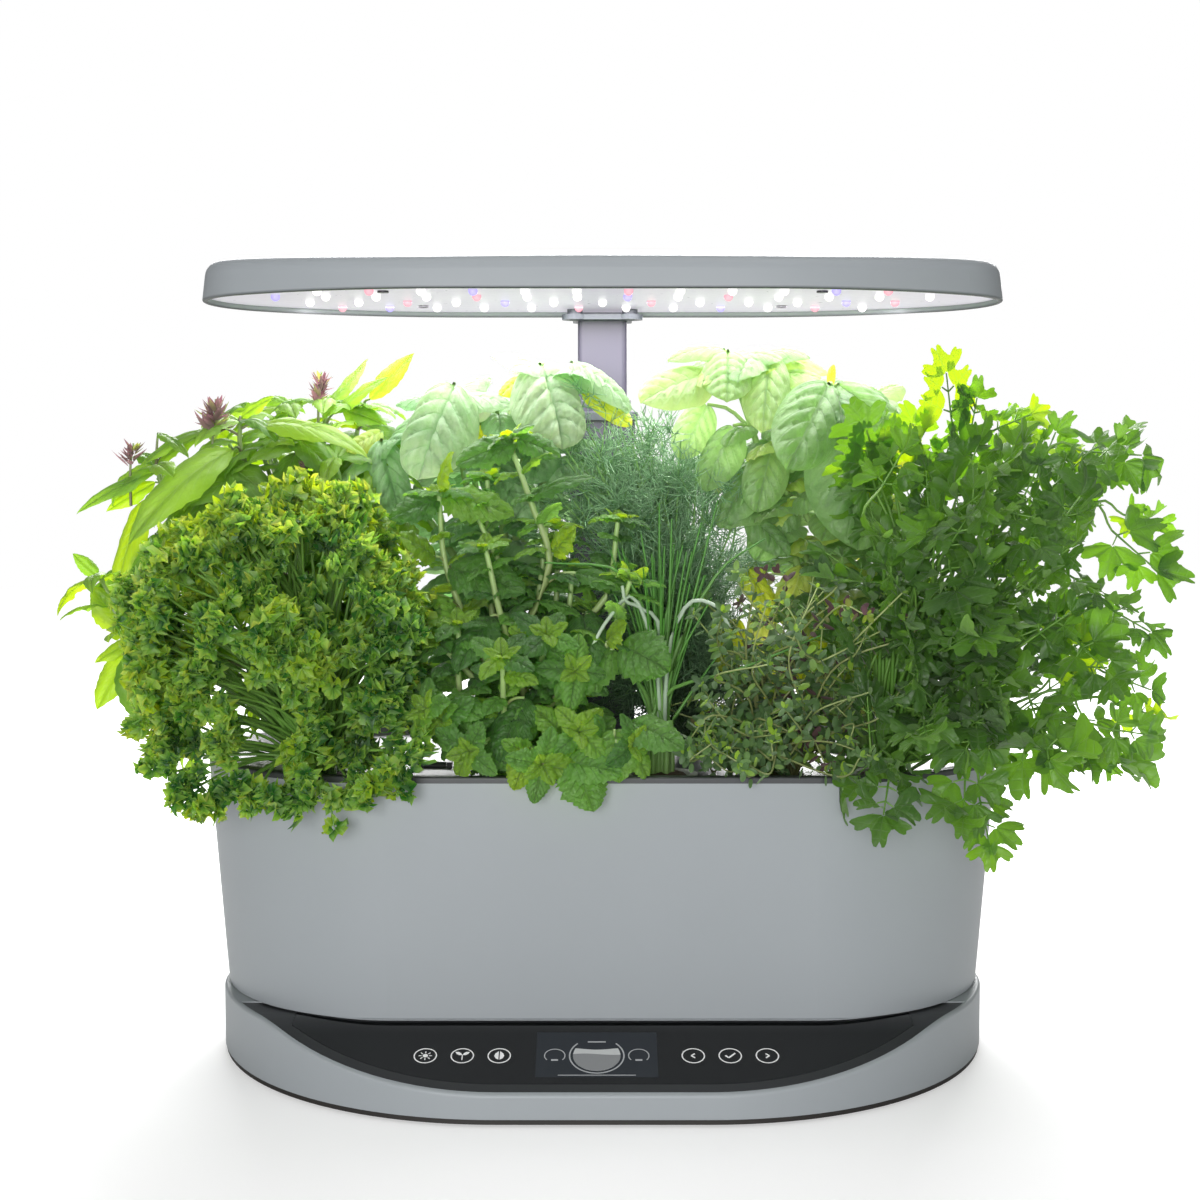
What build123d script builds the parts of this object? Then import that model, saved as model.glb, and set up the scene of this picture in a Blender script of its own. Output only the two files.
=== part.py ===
from build123d import *
from math import cos, pi, radians, sin, sqrt, tan
import os

# Countertop hydroponic garden: base with a sloping touch panel, water bowl with a planting deck,
# nine pods with grown herbs, and a grow light on a three-stage telescopic mast.
# Millimetres, +Z up, +Y to the back. The origin is the middle of the base on the worktop.

os.makedirs("parts", exist_ok=True)

# ------------------------------------------------------------------ driving sizes
# base
base_half_width = 208.5
base_half_depth = 143.7
base_end_tuck = 43.7           # what the radius of the ends is less than half the depth
base_end_reach = 56.5          # centre of an end's radius beyond the straight stretch
base_top = 36.2
base_wall = 2.6
lip_round = 1.6
skirt_top = 3.8                # top of the dark bottom plate
skirt_inset = 0.6
foot_height = 1.2              # how far the rubber feet stand out of the bottom plate
foot_seat = 1.0                # how deep they sit in it
foot_radius = 9.0
foot_end_inset = 78.0
foot_side_inset = 42.0
foot_chamfer = 0.3
base_screw_length = 12.0
base_screw_end_inset = 36.0
base_screw_edge = 8.941        # from the outline of the base to the middle of a screw

# screws
screw_radius = 1.6
screw_head = 3.0
screw_head_height = 1.0
screw_bite = 7.0               # depth of the lamp's screws in their bosses
boss_wall = 2.4
drive_slot = (2.6, 0.7, 0.6)   # cross slot in a screw's head: length, width, depth

# clearances
fit_gap = 0.3                  # between two parts that are pushed together
running_gap = 0.05             # round a pin or a shaft
face_gap = 0.1

# sloping control panel
panel_front_height = 15.7
panel_tilt = 20.0
panel_blend = 60.0
panel_length = 86.7            # from the front to the panel's two tips, beside the bowl
panel_lip = 2.4                # edge of the housing left round the panel
panel_sink = 0.5
bezel_thickness = 2.4
lens_thickness = 1.2
lens_margin = 6.0              # dark frame that shows round the glossy lens
lens_ledge = 2.0               # what the lens keeps from the bowl
lens_end_inset = 50.5
display_size = (62.0, 38.0)
display_from_front = 29.7
board_size = (200.0, 28.0)
board_corner = 3.0
board_thickness = 1.6

# bowl
rim_height = 159.0
rim_overhang = 8.8             # what the rim stands out beyond the ends of the base
rim_depth_inset = 35.7         # what the rim's half depth is less than the base's
bowl_centre = 10.0             # the bowl stands behind the middle of the base
bowl_taper = 4.4
bowl_wall = 2.5
bowl_floor = 3.0
seat_gap = 0.4                 # shadow line between bowl and base
plug_inset = 4.5               # lower part of the bowl that drops into the base
tray_floor = 22.0
tray_gap = 0.6
tray_lip = 2.0                 # wall left between the tray and the panel

# power inlet
jack_radius = 5.5
jack_length = 11.0
jack_bore = 2.9
jack_bore_depth = 9.0
jack_pin_radius = 1.0
jack_pin_setback = 1.5
jack_x = 62.0
jack_height = 13.0

# mast
mast_from_rim = 33.0           # the mast's axis in front of the back of the rim
mast_wall = 1.6
mast_play = 0.8                # space between two stages, filled by the glides
glide_play = 0.2
inner_width = 28.8
inner_depth = 17.0
mast_corner = 3.0
mast_foot = 7.0
inner_shown = 46.0             # length of the inner stage that shows at rest
mid_shown = 7.0
stage_travel = 215.0
stage_overlap = 45.0           # what a stage keeps inside the next one when it is drawn out
glide_height = 12.0
glide_from_end = 2.0
collar_height = 5.0
collar_wall = 1.6
collar_round = 0.8
notch_gap = 1.6

# planting deck
deck_flange = 3.2
deck_plate = 2.5
deck_drop = 4.5                # deck plate's top below the bowl's rim
deck_border = 13.0
deck_round = 1.0
pod_radius = 17.2
pod_rim = 20.0
pod_rim_thickness = 1.6
pod_depth = 42.0
pod_wall = 1.2
pod_bottom_radius = 13.0
pod_window_width = 5.0
pod_window_from_ends = 7.0
end_pod_inset = 67.3           # outermost pods in from the ends of the rim
front_pod_inset = 50.0
back_pod_inset = 76.0
back_pod_x = 52.0              # inner pair of the back row

# fill port
port_radius = 14.0
lid_radius = 16.5
lid_thickness = 1.6
lid_tab = 3.0
lid_tab_width = 8.0
hinge_setback = 2.5
pin_radius = 1.0
knuckle_radius = 2.2
knuckle_length = 12.0
ear_width = 3.0

# level float
float_radius = 8.8
float_height = 22.0
float_stem_radius = 1.6
float_play = 0.8
float_guide_wall = 1.4
float_guide_bottom = 72.0
float_lip = 1.6
float_lip_width = 3.3

# water pump
pump_size = (46.0, 52.0, 30.0)
pump_corner = 6.0
pump_from_centre = -18.0
pump_axis_rise = 1.0           # impeller's axis above the middle of the pump
chamber_radius = 14.0
chamber_depth = 12.0
impeller_radius = 12.5
impeller_thickness = 8.0
impeller_disc = 1.5
impeller_hub = 3.6
impeller_blades = 6
blade_thickness = 1.4
shaft_radius = 1.5
riser_radius = 6.0
riser_wall = 1.8
riser_setback = 12.0           # riser behind the middle of the pump
riser_seat = 4.0
socket_wall = 2.0
socket_height = 6.0
filter_thickness = 6.0
filter_slot = (18.0, 2.4)
filter_slots = 6
filter_pitch = 5.5

# lamp hood
hood_bottom = 406.0
hood_half_width = 217.5
hood_half_depth = 85.5
hood_end_tuck = 25.5
hood_end_reach = 82.5
hood_setback = 80.5            # middle of the hood in front of the mast
hood_height = 25.0
hood_side_taper = 7.0
hood_wall = 2.6
hood_crown_along = 6000.0      # radius of the roof from end to end
hood_crown_across = 400.0      # radius of the roof from front to back
hood_round = 8.0
hood_edge_round = 1.2
roof_wall = 3.0
reflector_sink = 3.0
reflector_thickness = 1.5
led_board_thickness = 1.5
led_board_inset = 9.0
led_size = 3.4
led_window = 4.4
led_proud = 0.8
led_pitch = 27.0
led_row_lines = (-48.5, -18.5, 13.5, 45.5)    # from the middle of the hood
led_row_counts = (12, 14, 13, 12)
reflector_screws_at = ((-115.0, -41.5), (115.0, -41.5), (-102.0, 42.5), (102.0, 42.5))

# bracket between mast and hood
bracket_thickness = 3.0
bracket_border = 3.0
bracket_corner = 4.0
bracket_ear_radius = 7.5
bracket_screw_x = 16.0
bracket_screw_setback = 15.0
bracket_head_depth = 1.6
bracket_spigot = 18.0
pad_radius = 4.5

# herbs
stem_radius = 6.0
leaf_gap = 1.2                 # kept between two neighbouring crowns
crown_sides = 12               # flats round each crown
crown_lean = 0.6               # share of the way from its pod to its middle where a crown opens
crown_return = 0.6             # share of the way back to its pod where a crown's top stands
back_reach = 50.0              # how far Thai and leafy basil grow behind their pods
row_line = -7.0                # line between the front and the back row
wide_overhang = 82.7           # flat parsley and Thai basil beyond the rim
curly_overhang = 26.7
leafy_inset = 2.3
plant_back_inset = 6.0
mast_room_x = 58.0             # half width, at the back, of the space kept free for the mast
mast_room_front = 45.0
front_shifts = (-8.0, 10.0, 3.0, 8.0)    # lines between crowns, from the middle between two pods
back_shifts = (-17.0, 0.0, -11.0)


# ------------------------------------------------------------------ shared shapes
def keep(builder, name):
    """Label a finished piece and write it under that name."""
    builder.part.label = name
    export_step(builder.part, f"parts/{name}.step")


def oval_shoulder(half_width, half_depth, end_tuck, end_reach):
    """Centre and radius of the wide arc that joins the straight back of an oval to its end."""
    end_radius = half_depth - end_tuck
    radius = (end_reach**2 + half_depth**2 - end_radius**2) / (2 * end_tuck)
    return Vector(half_width - end_radius - end_reach, half_depth - radius), radius


def oval(half_width, half_depth, end_tuck, end_reach, inset=0.0):
    """Outline with a straight front and back, wide shoulders and tighter round ends."""
    shoulder_centre, shoulder = oval_shoulder(half_width, half_depth, end_tuck, end_reach)
    shoulder -= inset
    flat = shoulder_centre.X
    end_centre = Vector(half_width - half_depth + end_tuck, 0)
    meet = shoulder_centre + (end_centre - shoulder_centre).normalized() * shoulder
    with BuildSketch(mode=Mode.PRIVATE) as outline:
        with BuildLine():
            end_arc = TangentArc((half_width - inset, 0), meet, tangent=(0, 1))
            TangentArc(meet, (flat, half_depth - inset), tangent=end_arc % 1)
            Line((flat, half_depth - inset), (0, half_depth - inset))
            mirror(about=Plane.YZ)
            mirror(about=Plane.XZ)
        make_face()
    return outline.sketch


def base_oval(inset=0.0):
    return oval(base_half_width, base_half_depth, base_end_tuck, base_end_reach, inset)


def hood_oval(inset=0.0):
    return oval(hood_half_width, hood_half_depth, hood_end_tuck, hood_end_reach, inset)


def bowl_plane(height):
    return Plane((0, bowl_centre, height))


def bowl_slot(height, inset=0.0):
    """The bowl's outline at a height, which narrows downwards by its taper."""
    shrink = (rim_height - height) * tan(radians(bowl_taper)) + inset
    with BuildSketch(mode=Mode.PRIVATE) as outline:
        SlotOverall(2 * (rim_half_width - shrink), 2 * (rim_half_depth - shrink))
    return outline.sketch


def below_slope(drop=0.0):
    """Side profile of everything under the panel's surface, lowered by drop."""
    rise = tan(radians(panel_tilt))
    corner = -base_half_depth + (base_top - panel_front_height) / rise
    front, back, under = -base_half_depth - beyond, base_half_depth + beyond, -beyond
    with BuildSketch(mode=Mode.PRIVATE) as profile:
        with BuildLine():
            start = (front, panel_front_height - beyond * rise - drop)
            end = (back, base_top - drop)
            FilletPolyline(start, (corner, base_top - drop), end, radius=panel_blend)
            Polyline(end, (back, under), (front, under), start)
        make_face()
    return profile.sketch


def slope_plane(y, drop=0.0):
    """Plane on the panel's slope, lowered by drop, with its x axis to the right."""
    tilt = radians(panel_tilt)
    height = panel_front_height + (y + base_half_depth) * tan(tilt) - drop
    return Plane((0, y, height), x_dir=(1, 0, 0), z_dir=(0, -sin(tilt), cos(tilt)))


def panel_layer(inset, upper, lower, tuck, half_width, back):
    """A layer of the panel: inside the base's outline, outside the bowl, between two depths."""
    with BuildPart(mode=Mode.PRIVATE) as layer:
        with BuildSketch():
            add(base_oval(inset))
            with Locations((0, back)):
                Rectangle(2 * half_width, base_half_depth, align=backwards, mode=Mode.INTERSECT)
        extrude(amount=base_top + beyond)
        with BuildSketch(Plane.YZ):
            add(below_slope(upper))
            add(below_slope(lower), mode=Mode.SUBTRACT)
        extrude(amount=base_half_width, both=True, mode=Mode.INTERSECT)
        with BuildSketch(bowl_plane(0)):
            add(bowl_slot(base_top, tuck))
        extrude(amount=base_top + beyond, mode=Mode.SUBTRACT)
    return layer.part


def grown(size, wall):
    """Width and depth of a rectangle with a wall added all round."""
    return (size[0] + 2 * wall, size[1] + 2 * wall)


def screws(places, head_bottom, shank_top):
    """A set of equal pan-head screws that go up into their bosses, with a cross slot below."""
    with BuildPart(mode=Mode.PRIVATE) as group:
        with BuildSketch(Plane.XY.offset(head_bottom)):
            with Locations(*places):
                Circle(screw_head)
        extrude(amount=screw_head_height)
        with BuildSketch(Plane.XY.offset(head_bottom + screw_head_height)):
            with Locations(*places):
                Circle(screw_radius - running_gap)
        extrude(amount=shank_top - head_bottom - screw_head_height)
        with BuildSketch(Plane.XY.offset(head_bottom)):
            with Locations(*places):
                Rectangle(drive_slot[0], drive_slot[1])
                Rectangle(drive_slot[1], drive_slot[0])
        extrude(amount=drive_slot[2], mode=Mode.SUBTRACT)
    return group.part


# ------------------------------------------------------------------ places worked out once
beyond = 20.0                  # how far a cutting shape runs past what it cuts
backwards = (Align.CENTER, Align.MAX)
forwards = (Align.CENTER, Align.MIN)
upwards = (Align.CENTER, Align.CENTER, Align.MIN)

panel_back = panel_length - base_half_depth
lens_half_width = base_half_width - lens_end_inset
bowl_skirt = base_top + seat_gap
rim_half_width = base_half_width + rim_overhang
rim_half_depth = base_half_depth - rim_depth_inset
rim_front = bowl_centre - rim_half_depth
rim_back = bowl_centre + rim_half_depth
mast_y = rim_back - mast_from_rim
hood_centre = mast_y - hood_setback

inner_outside = (inner_width, inner_depth)
inner_inside = grown(inner_outside, -mast_wall)
mid_inside = grown(inner_outside, mast_play)
mid_outside = grown(mid_inside, mast_wall)
outer_inside = grown(mid_outside, mast_play)
outer_outside = grown(outer_inside, mast_wall)
bracket_bottom = hood_bottom - bracket_thickness
mid_top = bracket_bottom - inner_shown - collar_height
outer_top = mid_top - mid_shown
mid_bottom = outer_top - stage_travel - stage_overlap
inner_bottom = mid_top - stage_travel - stage_overlap
notch_half = outer_outside[0] / 2 + notch_gap
notch_front = mast_y - outer_outside[1] / 2 - notch_gap

deck_top = rim_height - deck_drop
plate_bottom = deck_top - deck_plate
flange_top = rim_height + deck_flange
pod_hole = pod_radius + fit_gap
pod_seat = deck_top + pod_rim_thickness
end_pod_x = rim_half_width - end_pod_inset
front_row = rim_front + front_pod_inset
back_row = rim_back - back_pod_inset
front_stations = [(0.4 * i - 1) * end_pod_x for i in range(6)]
port_x = front_stations[1]
front_pods = [x for x in front_stations if x != port_x]
back_pods = [-end_pod_x, -back_pod_x, back_pod_x, end_pod_x]
pod_places = [(x, front_row) for x in front_pods] + [(x, back_row) for x in back_pods]
float_place = (-(end_pod_x + back_pod_x) / 2, back_row)

foot_x = base_half_width - foot_end_inset
foot_y = base_half_depth - foot_side_inset
foot_places = [(x, y) for x in (-foot_x, 0, foot_x) for y in (-foot_y, foot_y)]
base_screw_x = base_half_width - base_screw_end_inset
base_shoulder, base_shoulder_radius = oval_shoulder(base_half_width, base_half_depth,
                                                    base_end_tuck, base_end_reach)
base_screw_y = base_shoulder.Y + sqrt((base_shoulder_radius - base_screw_edge)**2
                                      - (base_screw_x - base_shoulder.X)**2)
base_screws_at = [(x, y) for x in (-base_screw_x, base_screw_x) for y in (-base_screw_y, base_screw_y)]

jack_plane = Plane((jack_x, base_half_depth, jack_height), x_dir=(1, 0, 0), z_dir=(0, 1, 0))
panel_depth = panel_sink + bezel_thickness
lens_bottom = panel_sink + lens_thickness
bezel_inset = panel_lip + fit_gap
display_y = display_from_front - base_half_depth

# ------------------------------------------------------------------ base
with BuildPart() as base_cavity:
    with BuildSketch(Plane.XY.offset(skirt_top)):
        add(base_oval(base_wall))
    extrude(amount=base_top)
    with BuildSketch(Plane.YZ):
        add(below_slope(panel_depth + base_wall))
    extrude(amount=base_half_width, both=True, mode=Mode.INTERSECT)
    with BuildSketch(bowl_plane(tray_floor - base_wall)):
        add(bowl_slot(bowl_skirt, plug_inset - tray_gap - base_wall))
    extrude(amount=base_top, mode=Mode.SUBTRACT)
    # block that holds the foot of the mast, and bosses for the screws of the bottom plate
    with BuildSketch(Plane.XY.offset(skirt_top)):
        with Locations((0, mast_y)):
            Rectangle(*grown(outer_outside, 2 * base_wall))
        with Locations(*base_screws_at):
            Circle(screw_radius + boss_wall)
    extrude(amount=base_top, mode=Mode.SUBTRACT)

with BuildPart() as base_housing:
    with BuildSketch(Plane.XY.offset(skirt_top)):
        add(base_oval())
    extrude(amount=base_top - skirt_top)
    with BuildSketch(Plane.YZ):
        add(below_slope())
    extrude(amount=base_half_width + beyond, both=True, mode=Mode.INTERSECT)
    # the lip is rounded all round, except where the top runs smoothly into the slope
    fillet(base_housing.faces().sort_by(Axis.Z)[-1].edges().sort_by(Axis.Y)[1:], lip_round)
    # tray that the bowl drops into, and the pocket of the control panel
    with BuildSketch(bowl_plane(tray_floor)):
        add(bowl_slot(bowl_skirt, plug_inset - tray_gap))
    extrude(amount=base_top, mode=Mode.SUBTRACT)
    add(base_cavity.part, mode=Mode.SUBTRACT)
    add(panel_layer(panel_lip, -beyond, panel_depth, plug_inset - tray_lip, base_half_width, panel_back),
        mode=Mode.SUBTRACT)
    # socket of the mast and holes for the screws
    with BuildSketch(Plane((0, mast_y, mast_foot))):
        RectangleRounded(*outer_outside, mast_corner)
    extrude(amount=base_top, mode=Mode.SUBTRACT)
    with BuildSketch(Plane.XY.offset(skirt_top)):
        with Locations(*base_screws_at):
            Circle(screw_radius)
    extrude(amount=base_screw_length, mode=Mode.SUBTRACT)
    # boss that takes the power inlet
    with BuildSketch(jack_plane):
        Rectangle(4 * jack_radius, 2 * jack_radius + base_wall)
    extrude(amount=-jack_length - base_wall)
    with BuildSketch(jack_plane.offset(beyond)):
        Circle(jack_radius)
    extrude(amount=-jack_length - beyond, mode=Mode.SUBTRACT)
keep(base_housing, "base_housing")

with BuildPart() as base_bottom_plate:
    with BuildSketch(Plane.XY.offset(foot_height)):
        add(base_oval(skirt_inset))
    extrude(amount=skirt_top - foot_height)
    with Locations(Plane.XY.offset(foot_height)):
        with Locations(*foot_places):
            Cylinder(foot_radius, foot_seat, align=upwards, mode=Mode.SUBTRACT)
        with Locations(*base_screws_at):
            Cylinder(screw_radius + fit_gap, 2 * skirt_top, mode=Mode.SUBTRACT)
keep(base_bottom_plate, "base_bottom_plate")

with BuildPart() as rubber_feet:
    with Locations(*foot_places):
        Cylinder(foot_radius, foot_height + foot_seat, align=upwards)
    chamfer(rubber_feet.edges().group_by(Axis.Z)[0], foot_chamfer)
keep(rubber_feet, "rubber_feet")

with BuildPart() as base_screws:
    add(screws(base_screws_at, foot_height - screw_head_height, skirt_top + base_screw_length))
keep(base_screws, "base_screws")

# ------------------------------------------------------------------ control panel
with BuildPart() as panel_bezel:
    add(panel_layer(bezel_inset, panel_sink, panel_depth, plug_inset - tray_lip - fit_gap,
                    base_half_width, panel_back - fit_gap))
    add(panel_layer(bezel_inset + lens_margin, -beyond, lens_bottom, plug_inset - tray_lip - lens_ledge,
                    lens_half_width, panel_back), mode=Mode.SUBTRACT)
    with BuildSketch(slope_plane(display_y, panel_depth)):
        Rectangle(*grown(display_size, fit_gap))
    extrude(amount=bezel_thickness, both=True, mode=Mode.SUBTRACT)
keep(panel_bezel, "panel_bezel")

with BuildPart() as panel_lens:
    add(panel_layer(bezel_inset + lens_margin + fit_gap / 2, panel_sink, lens_bottom,
                    plug_inset - tray_lip - lens_ledge - fit_gap / 2, lens_half_width - fit_gap / 2,
                    panel_back))
keep(panel_lens, "panel_lens")

with BuildPart() as display_module:
    with BuildSketch(slope_plane(display_y, panel_depth)):
        Rectangle(*display_size)
    extrude(amount=(panel_depth - lens_bottom) * cos(radians(panel_tilt)) - running_gap)
keep(display_module, "display_module")

with BuildPart() as control_board:
    with BuildSketch(slope_plane(display_y, panel_depth + base_wall + face_gap)):
        RectangleRounded(*board_size, board_corner)
    extrude(amount=-board_thickness)
keep(control_board, "control_board")

# ------------------------------------------------------------------ power inlet
with BuildPart() as power_jack:
    with BuildSketch(jack_plane.offset(-jack_length)):
        Circle(jack_radius - running_gap)
    extrude(amount=jack_length)
    with BuildSketch(jack_plane):
        Circle(jack_bore)
    extrude(amount=-jack_bore_depth, mode=Mode.SUBTRACT)
    with BuildSketch(jack_plane.offset(-jack_length)):
        Circle(jack_pin_radius)
    extrude(amount=jack_length - jack_pin_setback)
keep(power_jack, "power_jack")


# ------------------------------------------------------------------ mast
def tube(outside, inside, bottom, top):
    """Rectangular tube round the mast's axis."""
    inside_corner = max(mast_corner - (outside[0] - inside[0]) / 2, fit_gap)
    with BuildPart(mode=Mode.PRIVATE) as stage:
        with BuildSketch(Plane((0, mast_y, bottom))):
            RectangleRounded(*outside, mast_corner)
            RectangleRounded(*inside, inside_corner, mode=Mode.SUBTRACT)
        extrude(amount=top - bottom)
    return stage.part


def glides(inside_of, outside_of, bottom):
    """Four low pads round the foot of a stage, which guide it inside the next one."""
    reach_x = (inside_of[0] / 2 - glide_play + outside_of[0] / 2) / 2
    reach_y = (inside_of[1] / 2 - glide_play + outside_of[1] / 2) / 2
    thick = mast_play - glide_play
    flat = grown(outside_of, -mast_corner - fit_gap)
    with BuildPart(mode=Mode.PRIVATE) as pads:
        with BuildSketch(Plane((0, mast_y, bottom + glide_from_end))):
            with Locations((reach_x, 0), (-reach_x, 0)):
                Rectangle(thick, flat[1])
            with Locations((0, reach_y), (0, -reach_y)):
                Rectangle(flat[0], thick)
        extrude(amount=glide_height)
    return pads.part


def collar(outside, inside, bottom):
    """Cap on the end of a stage, rounded on top, that closes the gap to the next stage."""
    with BuildPart(mode=Mode.PRIVATE) as cap:
        add(tube(outside, grown(inside, glide_play), bottom, bottom + collar_height))
        fillet(cap.faces().sort_by(Axis.Z)[-1].outer_wire().edges(), collar_round)
    return cap.part


with BuildPart() as mast_outer:
    add(tube(outer_outside, outer_inside, mast_foot, outer_top))
keep(mast_outer, "mast_outer")

with BuildPart() as mast_outer_collar:
    add(collar(grown(outer_outside, collar_wall), mid_outside, outer_top))
keep(mast_outer_collar, "mast_outer_collar")

with BuildPart() as mast_mid:
    add(tube(mid_outside, mid_inside, mid_bottom, mid_top))
keep(mast_mid, "mast_mid")

with BuildPart() as mast_mid_collar:
    add(collar(mid_outside, inner_outside, mid_top))
keep(mast_mid_collar, "mast_mid_collar")

with BuildPart() as mast_mid_glides:
    add(glides(outer_inside, mid_outside, mid_bottom))
keep(mast_mid_glides, "mast_mid_glides")

with BuildPart() as mast_inner:
    add(tube(inner_outside, inner_inside, inner_bottom, bracket_bottom))
keep(mast_inner, "mast_inner")

with BuildPart() as mast_inner_glides:
    add(glides(mid_inside, inner_outside, inner_bottom))
keep(mast_inner_glides, "mast_inner_glides")

# ------------------------------------------------------------------ bowl
inside_floor = tray_floor + bowl_floor
ledge = bowl_skirt + bowl_floor
notch_plane = Plane((0, notch_front, 0))
notch_wall_plane = Plane((0, notch_front - bowl_wall, 0))
notch_wall_half = notch_half + bowl_wall

with BuildPart() as bowl_water:
    # the space for the water, with the notch for the mast standing in it
    with BuildSketch(bowl_plane(inside_floor)):
        add(bowl_slot(bowl_skirt, plug_inset + bowl_wall))
    extrude(amount=ledge - inside_floor)
    with BuildSketch(bowl_plane(ledge)):
        add(bowl_slot(ledge, bowl_wall))
    extrude(amount=rim_height - ledge, taper=-bowl_taper)
    with BuildSketch(notch_wall_plane):
        Rectangle(2 * notch_wall_half, rim_half_depth, align=forwards)
    extrude(amount=rim_height + beyond, mode=Mode.SUBTRACT)

with BuildPart() as grow_bowl:
    with BuildSketch(bowl_plane(tray_floor)):
        add(bowl_slot(bowl_skirt, plug_inset))
    extrude(amount=bowl_skirt - tray_floor)
    with BuildSketch(bowl_plane(bowl_skirt)):
        add(bowl_slot(bowl_skirt))
    extrude(amount=rim_height - bowl_skirt, taper=-bowl_taper)
    add(bowl_water.part, mode=Mode.SUBTRACT)
    with BuildSketch(notch_plane):
        Rectangle(2 * notch_half, rim_half_depth, align=forwards)
    extrude(amount=rim_height + beyond, mode=Mode.SUBTRACT)
keep(grow_bowl, "grow_bowl")

# ------------------------------------------------------------------ water pump
pump_y = bowl_centre + pump_from_centre
pump_front = pump_y - pump_size[1] / 2
pump_top = inside_floor + pump_size[2]
pump_axis_height = inside_floor + pump_size[2] / 2 + pump_axis_rise
pump_face = Plane((0, pump_front, pump_axis_height), x_dir=(1, 0, 0), z_dir=(0, -1, 0))
riser_y = pump_y + riser_setback

with BuildPart() as pump_housing:
    with BuildSketch(Plane((0, pump_y, inside_floor))):
        RectangleRounded(pump_size[0], pump_size[1], pump_corner)
    extrude(amount=pump_size[2])
    with BuildSketch(pump_face):
        Circle(chamber_radius)
    extrude(amount=-chamber_depth, mode=Mode.SUBTRACT)
    with BuildSketch(Plane((0, riser_y, pump_top))):
        Circle(riser_radius + socket_wall)
    extrude(amount=socket_height)
    with BuildSketch(Plane((0, riser_y, pump_top - riser_seat))):
        Circle(riser_radius + fit_gap / 2)
    extrude(amount=riser_seat + socket_height, mode=Mode.SUBTRACT)
keep(pump_housing, "pump_housing")

with BuildPart() as pump_shaft:
    with BuildSketch(pump_face.offset(-chamber_depth)):
        Circle(shaft_radius)
    extrude(amount=chamber_depth)
keep(pump_shaft, "pump_shaft")

with BuildPart() as impeller:
    with BuildSketch(pump_face.offset(1 - chamber_depth)):
        Circle(impeller_radius)
    extrude(amount=impeller_disc)
    with BuildSketch(pump_face.offset(1 - chamber_depth)):
        Circle(impeller_hub)
        with PolarLocations(impeller_radius / 2, impeller_blades):
            Rectangle(impeller_radius - 1, blade_thickness)
    extrude(amount=impeller_thickness)
    with BuildSketch(pump_face.offset(-chamber_depth)):
        Circle(shaft_radius + running_gap)
    extrude(amount=chamber_depth, mode=Mode.SUBTRACT)
keep(impeller, "impeller")

with BuildPart() as pump_filter:
    with BuildSketch(pump_face.offset(fit_gap)):
        RectangleRounded(pump_size[0] - 4, pump_size[2] - 4, bracket_corner)
        with GridLocations(filter_pitch, 0, filter_slots, 1):
            SlotOverall(*filter_slot, rotation=90, mode=Mode.SUBTRACT)
    extrude(amount=filter_thickness)
keep(pump_filter, "pump_filter")

with BuildPart() as riser_tube:
    with BuildSketch(Plane((0, riser_y, pump_top - riser_seat))):
        Circle(riser_radius)
        Circle(riser_radius - riser_wall, mode=Mode.SUBTRACT)
    extrude(amount=plate_bottom - fit_gap - pump_top + riser_seat)
keep(riser_tube, "riser_tube")

# ------------------------------------------------------------------ planting deck
hinge_y = front_row + lid_radius + hinge_setback
pin_height = deck_top + knuckle_radius + fit_gap
ear_x = knuckle_length / 2 + fit_gap + ear_width / 2
pin_plane = Plane((port_x, hinge_y, pin_height), x_dir=(0, 1, 0), z_dir=(1, 0, 0))

with BuildPart() as grow_deck:
    with BuildSketch(bowl_plane(plate_bottom)):
        add(bowl_slot(plate_bottom, bowl_wall + fit_gap))
    extrude(amount=rim_height - plate_bottom, taper=-bowl_taper)
    with BuildSketch(bowl_plane(rim_height)):
        add(bowl_slot(rim_height))
    extrude(amount=deck_flange)
    fillet(grow_deck.faces().sort_by(Axis.Z)[-1].outer_wire().edges(), deck_round)
    # basin with sloping sides inside the flange
    with BuildSketch(bowl_plane(deck_top)):
        add(bowl_slot(deck_top, deck_border))
    extrude(amount=flange_top - deck_top, taper=-45, mode=Mode.SUBTRACT)
    # wall round the notch for the mast, which caps the bowl's own wall there
    notch_depth = rim_back - notch_front
    with BuildSketch(notch_wall_plane.offset(plate_bottom)):
        Rectangle(2 * notch_wall_half, notch_depth + bowl_wall - 2 * deck_round, align=forwards)
    extrude(amount=flange_top - plate_bottom)
    with BuildSketch(Plane((0, notch_front - bowl_wall - fit_gap, 0))):
        Rectangle(2 * (notch_wall_half + fit_gap), rim_half_depth, align=forwards)
    extrude(amount=rim_height, mode=Mode.SUBTRACT)
    with BuildSketch(notch_plane):
        Rectangle(2 * notch_half, rim_half_depth, align=forwards)
    extrude(amount=flange_top + beyond, mode=Mode.SUBTRACT)
    # holes for the pods, the fill port and the float's stem
    with BuildSketch(Plane.XY.offset(plate_bottom)):
        with Locations(*pod_places):
            Circle(pod_hole)
        with Locations((port_x, front_row)):
            Circle(port_radius)
        with Locations(float_place):
            Circle(float_stem_radius + 2 * fit_gap)
    extrude(amount=deck_plate, mode=Mode.SUBTRACT)
    # ears for the lid's pin
    with BuildSketch(Plane.XY.offset(deck_top)):
        with Locations((port_x - ear_x, hinge_y), (port_x + ear_x, hinge_y)):
            Rectangle(ear_width, 2 * knuckle_radius)
    extrude(amount=2 * knuckle_radius + fit_gap)
    with BuildSketch(pin_plane):
        Circle(pin_radius + running_gap)
    extrude(amount=ear_x + ear_width, both=True, mode=Mode.SUBTRACT)
keep(grow_deck, "grow_deck")

with BuildPart() as lid_pin:
    with BuildSketch(pin_plane):
        Circle(pin_radius)
    extrude(amount=ear_x + ear_width / 2, both=True)
keep(lid_pin, "lid_pin")

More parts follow.
